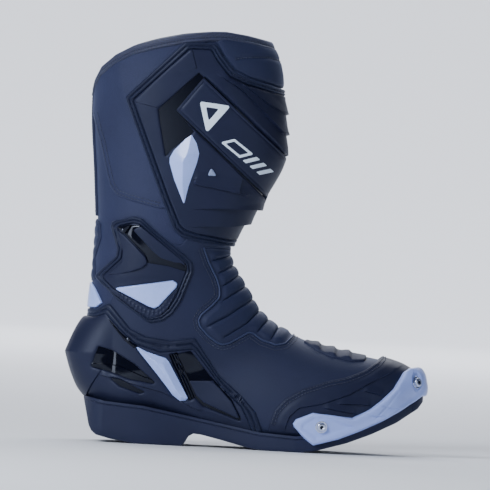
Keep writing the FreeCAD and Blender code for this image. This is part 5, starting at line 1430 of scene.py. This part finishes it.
def make_sole():
    """The rubber sole with its heel block, as sections across it from heel to toe."""
    stops = [HEEL_END + 0.1, *np.linspace(HEEL_END + 0.5, -118, 26), *np.linspace(-118, 142, 150),
             *np.linspace(142, TOE_END - 0.15, 22), *np.linspace(-52, -41, 20)]
    for first, last, pitch in (HEEL_TREAD, BALL_TREAD):
        for start in np.arange(first, last + 0.1, pitch):
            stops += [start - 0.02, start + 0.05, start + 2.95, start + 3.02]
    columns = np.array([0.0, 8.0, 16.0, 24.6, 25.2])
    points, count = [], 0
    for x in sorted(set(stops)):
        half, middle = sole_half(np.array(x)), along_x(SOLE_MIDDLE, x)
        top, under = along_x(SOLE_TOP, x), along_x(SOLE_UNDER, x)
        thick = top - under
        k = min(1.0, thick / 9.0)
        draft = 0.035 * thick
        wall = [(half - 4.0, top - 1.6 * k), (half - 2.2, top + 0.3 * k), (half - 1.0, top + 0.9 * k),
                (half - 0.25, top + 0.6 * k), (half, top - 0.1 * k), (half, top - 1.5 * k),
                (half - 0.7, top - 1.9 * k), (half - 0.7, top - 2.3 * k), (half, top - 2.7 * k),
                (half - 0.3 * draft, top - 0.45 * thick), (half - 0.65 * draft, top - 0.7 * thick),
                (half - draft, under + 1.6 * k), (half - draft - 0.4, under + 0.6 * k), (half - draft - 1.4, under)]
        inner = np.minimum(columns, max(half - draft - 2.0, 0.1) * np.array([0, 0.32, 0.64, 0.97, 1.0]))
        wall = [(max(y, 0.15 * half), z) for y, z in wall]
        right = np.array(wall + [(y, under) for y in inner[::-1]])
        left = np.array([(-y, z) for y, z in right[::-1][1:]])
        section = np.vstack([right, left])
        lowest = section[:, 1] < under + 1.2 * k
        section[:, 1] += sole_groove(np.full(len(section), x), section[:, 0]) * lowest * k
        points += [(x, middle + y, z) for y, z in section]
        count = len(section)
    rows, faces = len(points) // count, []
    for i in range(rows - 1):
        for j in range(count):
            k = (j + 1) % count
            faces.append([i * count + j, i * count + k, (i + 1) * count + k, (i + 1) * count + j])
    faces += [list(range(count)), [(rows - 1) * count + j for j in range(count)][::-1]]
    piece = new_object("rubber_sole", points, faces, RUBBER, 28)
    return finished(piece, "foot", ("outsole",))


def make_footbed():
    xs, side = np.linspace(-119, 132, 90), np.linspace(-1, 1, 25)
    floor = [(s[2], s[3]) for s in STATIONS[13:24]]
    points = []
    for top in (True, False):
        for x in xs:
            half = sole_half(np.array(x)) - FOOTBED_INSET
            half = half * min(1.0, math.sqrt(max(0.02, 1 - max(0.0, (x - 112) / 20.5) ** 2)))
            half = half * min(1.0, math.sqrt(max(0.03, 1 - max(0.0, (-100 - x) / 19.5) ** 2)))
            height = along_x([(-120, 33.5)] + floor, x) + (FOOTBED_TOP if top else FOOTBED_UNDER)
            for s in side:
                rise = 3.5 * abs(s) ** 4 - 0.25 if top else 0
                points.append((x, along_x(SOLE_MIDDLE, x) + s * half, height + rise))
    count, rows = len(side), len(xs)
    faces = [[i * count + j, i * count + j + 1, (i + 1) * count + j + 1, (i + 1) * count + j]
             for i in range(rows - 1) for j in range(count - 1)]
    points = np.array(points)
    half = len(points) // 2
    piece = new_object("footbed_sheet", *closed_shell(points[:half], points[half:], faces), FOOTBED, 50)
    finished(piece, "foot", ("footbed",))


# ------------------------------------------------------------------ zip
def block(points, faces, centre, axes, halves, ease_by=0.25):
    """Adds a box with eased edges to the lists."""
    first = len(points)
    shape = bmesh.new()
    bmesh.ops.create_cube(shape, size=2.0)
    for vertex in shape.verts:
        vertex.co = Vector([c * h for c, h in zip(vertex.co, halves)])
    bmesh.ops.bevel(shape, geom=shape.edges[:], offset=ease_by, segments=2, profile=0.6, affect="EDGES")
    shape.verts.ensure_lookup_table()
    for vertex in shape.verts:
        points.append(centre + sum(axis * c for axis, c in zip(axes, vertex.co)))
    faces += [[first + vertex.index for vertex in face.verts] for face in shape.faces]
    shape.free()


def zip_blocks(name, boxes, material, ease_by=0.25):
    """One piece from boxes given as (across, outward, up) lows and sizes in the zip's own directions."""
    points, faces = [], []
    axes = (ZIP_ACROSS, ZIP_OUT, ZIP_UP)
    for low, size in boxes:
        middle = [a + b / 2 for a, b in zip(low, size)]
        block(points, faces, zip_point(*middle), axes, [b / 2 for b in size], ease_by)
    return new_object(name, points, faces, material, 50)


def zip_plate(name, outline, low, high, material, bevel=0.3):
    """A plate with a rounded outline in (across, up), between two heights outwards."""
    outline = rounded(outline, 2.2, True)
    ahead = unit(np.roll(outline, -1, 0) - np.roll(outline, 1, 0))
    inward = np.stack([-ahead[:, 1], ahead[:, 0]], 1)
    levels = [(bevel, low), (0.0, low + bevel), (0.0, high - bevel), (bevel, high)]
    count, points, faces = len(outline), [], []
    for inset, height in levels:
        points += [zip_point(a, height, b) for a, b in outline + inward * inset]
    for ring in range(3):
        faces += [[ring * count + k, ring * count + (k + 1) % count, (ring + 1) * count + (k + 1) % count,
                   (ring + 1) * count + k] for k in range(count)]
    faces += [list(range(count))[::-1], [3 * count + k for k in range(count)]]
    return new_object(name, points, faces, material, 35)


def make_zip():
    tapes = [((side * 4.3 - 3.2, -0.95, -4.0), (6.4, 1.0, 166.0)) for side in (-1, 1)]
    finished(zip_blocks("zip_tape_pair", tapes, TAPE), "shaft", ("zip_tapes",))
    teeth = []
    for i in range(TOOTH_PAIRS):
        teeth += [((-0.9, 0.2, i * TOOTH_PITCH), TOOTH_SIZE), ((-3.5, 0.2, i * TOOTH_PITCH + 1.8), TOOTH_SIZE)]
    finished(zip_blocks("zip_tooth_rows", teeth, TEETH, 0.35), "shaft", ("zip_teeth",))
    stops = [((-4.0, 0.2, -3.2), (8.0, 2.1, 2.6)), ((2.6, 0.2, 157.0), (2.4, 2.1, 2.6)),
             ((-5.0, 0.2, 157.0), (2.4, 2.1, 2.6))]
    finished(zip_blocks("zip_stop_bars", stops, LACQUER, 0.4), "shaft", ("zip_stops",))
    shield = [(-2.6, 141.0), (2.6, 141.0), (5.0, 147.5), (5.0, 156.0), (-5.0, 156.0), (-5.0, 147.5)]
    front = zip_plate("zip_slider_front", shield, 2.7, 4.2, LACQUER, 0.45)
    finished(front, "zip_slider", ("zip_slider",))
    finished(zip_plate("zip_slider_back", shield, -2.4, -1.3, LACQUER), "zip_slider")
    parts = [((-0.8, -2.4, 152.5), (1.6, 6.0, 3.2)), ((2.4, 3.7, 143.0), (1.2, 4.6, 4.0)),
             ((-3.6, 3.7, 143.0), (1.2, 4.6, 4.0))]
    finished(zip_blocks("zip_slider_ears", parts, LACQUER, 0.35), "zip_slider")
    line = [zip_point(a, PIN_OUT, PIN_UP) for a in (-3.5, 3.5)]
    finished(tube("zip_slider_pin", line, 1.1, LACQUER, sides=20), "zip_slider")
    tab = [(-3.0, 118.0), (3.0, 118.0), (4.2, 121.0), (3.4, 138.0), (2.0, 142.6), (-2.0, 142.6), (-3.4, 138.0),
           (-4.2, 121.0)]
    finished(zip_plate("zip_pull_plate", tab, 6.1, 7.7, LACQUER, 0.4), "zip_pull", ("zip_pull_tab",))
    grip = [(-2.2, 120.5), (2.2, 120.5), (2.7, 123.0), (2.2, 134.0), (-2.2, 134.0), (-2.7, 123.0)]
    finished(zip_plate("zip_pull_grip", grip, 7.5, 8.2, RUBBER, 0.3), "zip_pull")
    finished(zip_eye(), "zip_pull")


def zip_eye(count=28):
    """The ring that the pull tab swings by: a flat band round the pin."""
    centre = zip_point(0.0, PIN_OUT, PIN_UP)
    ring = [zip_point(0.0, PIN_OUT + EYE_PATH * math.cos(a), PIN_UP + EYE_PATH * math.sin(a))
            for a in np.linspace(0, 2 * PI, count, endpoint=False)]
    points = []
    for across, outer in ((-2.0, 1.0), (2.0, 1.0), (2.0, 0.68), (-2.0, 0.68)):
        points += [centre + (p - centre) * (EYE_RADIUS / EYE_PATH) * outer + ZIP_ACROSS * across for p in ring]
    faces = []
    for corner in range(4):
        here, there = corner * count, (corner + 1) % 4 * count
        faces += [[here + k, here + (k + 1) % count, there + (k + 1) % count, there + k] for k in range(count)]
    return new_object("zip_pull_eye", points, faces, LACQUER, 35)


def make_zip_guards():
    """Leather strips sewn on each side of the zip, and a short one across its foot."""
    rows = []
    for name, way in (("rear", -1), ("front", 1)):
        near, far = way * (BESIDE_ZIP - 0.4), way * (BESIDE_ZIP + GUARD_WIDTH)
        edge = trace(zip_line(near, -8, 164), side=MEDIAL, rear=True)
        back = trace(zip_line(far, -8, 164), side=MEDIAL, rear=True)
        piece = panel(f"zip_guard_{name}", joined(edge, back[::-1]), SMOOTH,
                      flat(2.1, 1.1, 0.4), (), 1.5, 1.0)
        finished(piece, "shaft")
        rows += [trace(zip_line(across, -5, 162), side=MEDIAL, rear=True)
                 for across in (near + 2.0 * way, far - 2.0 * way)]
    finished(stitches("zip_stitches", rows, THREAD, 2.2, 3.0, 2.2, 0.36), "shaft")
    low, high = zip_line(0, -16, -5)
    box = [(end[0] + 17 * way, end[1] - way) for end, way in ((low, -1), (low, 1), (high, 1), (high, -1))]
    piece = panel("zip_foot_patch", trace(box, 3.0, MEDIAL, True, True), SMOOTH, flat(2.5, 1.1, 0.4), (), 1.4, 1.0)
    finished(piece, "shaft")


# ------------------------------------------------------------------ build everything
for build in (make_base_leather, make_lining, make_collar, make_calf_panels, make_back, make_knee_panel, make_shin,
              make_banner_print, make_ankle, make_instep, make_vamp, make_heel, make_footbed, make_zip,
              make_zip_guards):
    build()
toe_wrap = Wrap([make_toe(), make_sole()])
make_slider(toe_wrap)
make_screws(toe_wrap)

# inner CAD parts that stay as they are get a finish of their own
INNER_FINISHES = {
    "shank": STEEL, "insole_board": BOARD, "toe_puff": BOARD, "heel_counter": BOARD, "shaft_padding": FOAM,
    "toe_slider_tee_nuts": STEEL,
}
for node, material in INNER_FINISHES.items():
    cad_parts[node].data.materials.clear()
    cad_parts[node].data.materials.append(material)


# ------------------------------------------------------------------ stage, lights and camera
CAMERA_AIM = (-6.7, 0.0, 172.4)
VIEW_WIDTH, CAMERA_DISTANCE, SENSOR, ROLL = 416.5, 6000.0, 36.0, 3.0
# area lights: name, place and aim in metres, size, power in watts and colour
LIGHTS = [
    ("key", (-1.1, -1.5, 1.15), (0, 0, 0.18), (0.7, 0.9), 41.0, (0.90, 0.94, 1.0)),
    ("fill", (1.7, -1.4, 0.5), (0, 0, 0.16), (0.9, 1.2), 5.0, (0.86, 0.92, 1.0)),
    ("strip", (-1.75, -1.65, 0.6), (0, 0, 0.1), (0.3, 1.3), 9.0, (0.92, 0.95, 1.0)),
    ("top", (-0.3, 0.2, 2.0), (0, 0, 0.1), (1.2, 1.0), 9.0, (0.90, 0.94, 1.0)),
    ("backdrop", (0.0, 5.5, 3.8), (0, 7.0, 0.0), (9.0, 3.0), 620.0, (0.95, 0.96, 1.0)),
    ("floor wash", (0.0, 2.0, 2.4), (0, 1.6, 0.0), (3.0, 1.5), 42.0, (0.95, 0.96, 1.0)),
]
SKY, SKY_STRENGTH = (0.68, 0.77, 1.0, 1.0), 0.17


def make_camera():
    data = bpy.data.cameras.new("camera")
    data.sensor_width = SENSOR
    data.lens = SENSOR * CAMERA_DISTANCE / VIEW_WIDTH
    data.clip_end = 50.0
    camera = bpy.data.objects.new("camera", data)
    bpy.context.collection.objects.link(camera)
    camera.location = np.array([CAMERA_AIM[0], CAMERA_AIM[1] - CAMERA_DISTANCE, CAMERA_AIM[2]]) * MM
    camera.rotation_euler = (PI / 2, math.radians(-ROLL), 0.0)
    bpy.context.scene.camera = camera


def make_light(name, place, aim, size, power, color):
    data = bpy.data.lights.new(name, "AREA")
    data.shape = "RECTANGLE"
    data.size, data.size_y = size
    data.energy = power
    data.color = color
    lamp = bpy.data.objects.new(name, data)
    bpy.context.collection.objects.link(lamp)
    lamp.location = place
    lamp.rotation_euler = (Vector(aim) - Vector(place)).to_track_quat("-Z", "Y").to_euler()


def make_stage():
    """A pale sweep: a floor that curves up into a wall behind."""
    half, front, back, radius, height = 12000.0, -12000.0, 10500.0, 3000.0, 7000.0
    profile = [(front, 0.0)] + [(back - radius + radius * math.sin(a), radius - radius * math.cos(a))
                                for a in np.linspace(0, PI / 2, 24)] + [(back, height)]
    points = [(x, y, z) for y, z in profile for x in (-half, half)]
    faces = [[2 * i, 2 * i + 1, 2 * i + 3, 2 * i + 2] for i in range(len(profile) - 1)]
    n = Nodes("sweep paper")
    tone = n.mix(n.noise(2.0, 2.0), (0.80, 0.82, 0.86), (0.82, 0.84, 0.88))
    material = n.finish(tone, n.ramp(n.noise(40.0), 0.3, 0.7, 0.8, 0.9), n.bump(n.noise(900.0), 0.1, 0.0001))
    mesh = bpy.data.meshes.new("sweep")
    mesh.from_pydata((np.array(points) * MM).tolist(), [], faces)
    mesh.shade_smooth()
    mesh.materials.append(material)
    sweep = bpy.data.objects.new("sweep", mesh)
    bpy.context.collection.objects.link(sweep)


make_camera()
make_stage()
for light in LIGHTS:
    make_light(*light)
world = bpy.data.worlds.new("studio")
world.use_nodes = True
world.node_tree.nodes["Background"].inputs["Color"].default_value = SKY
world.node_tree.nodes["Background"].inputs["Strength"].default_value = SKY_STRENGTH
bpy.context.scene.world = world
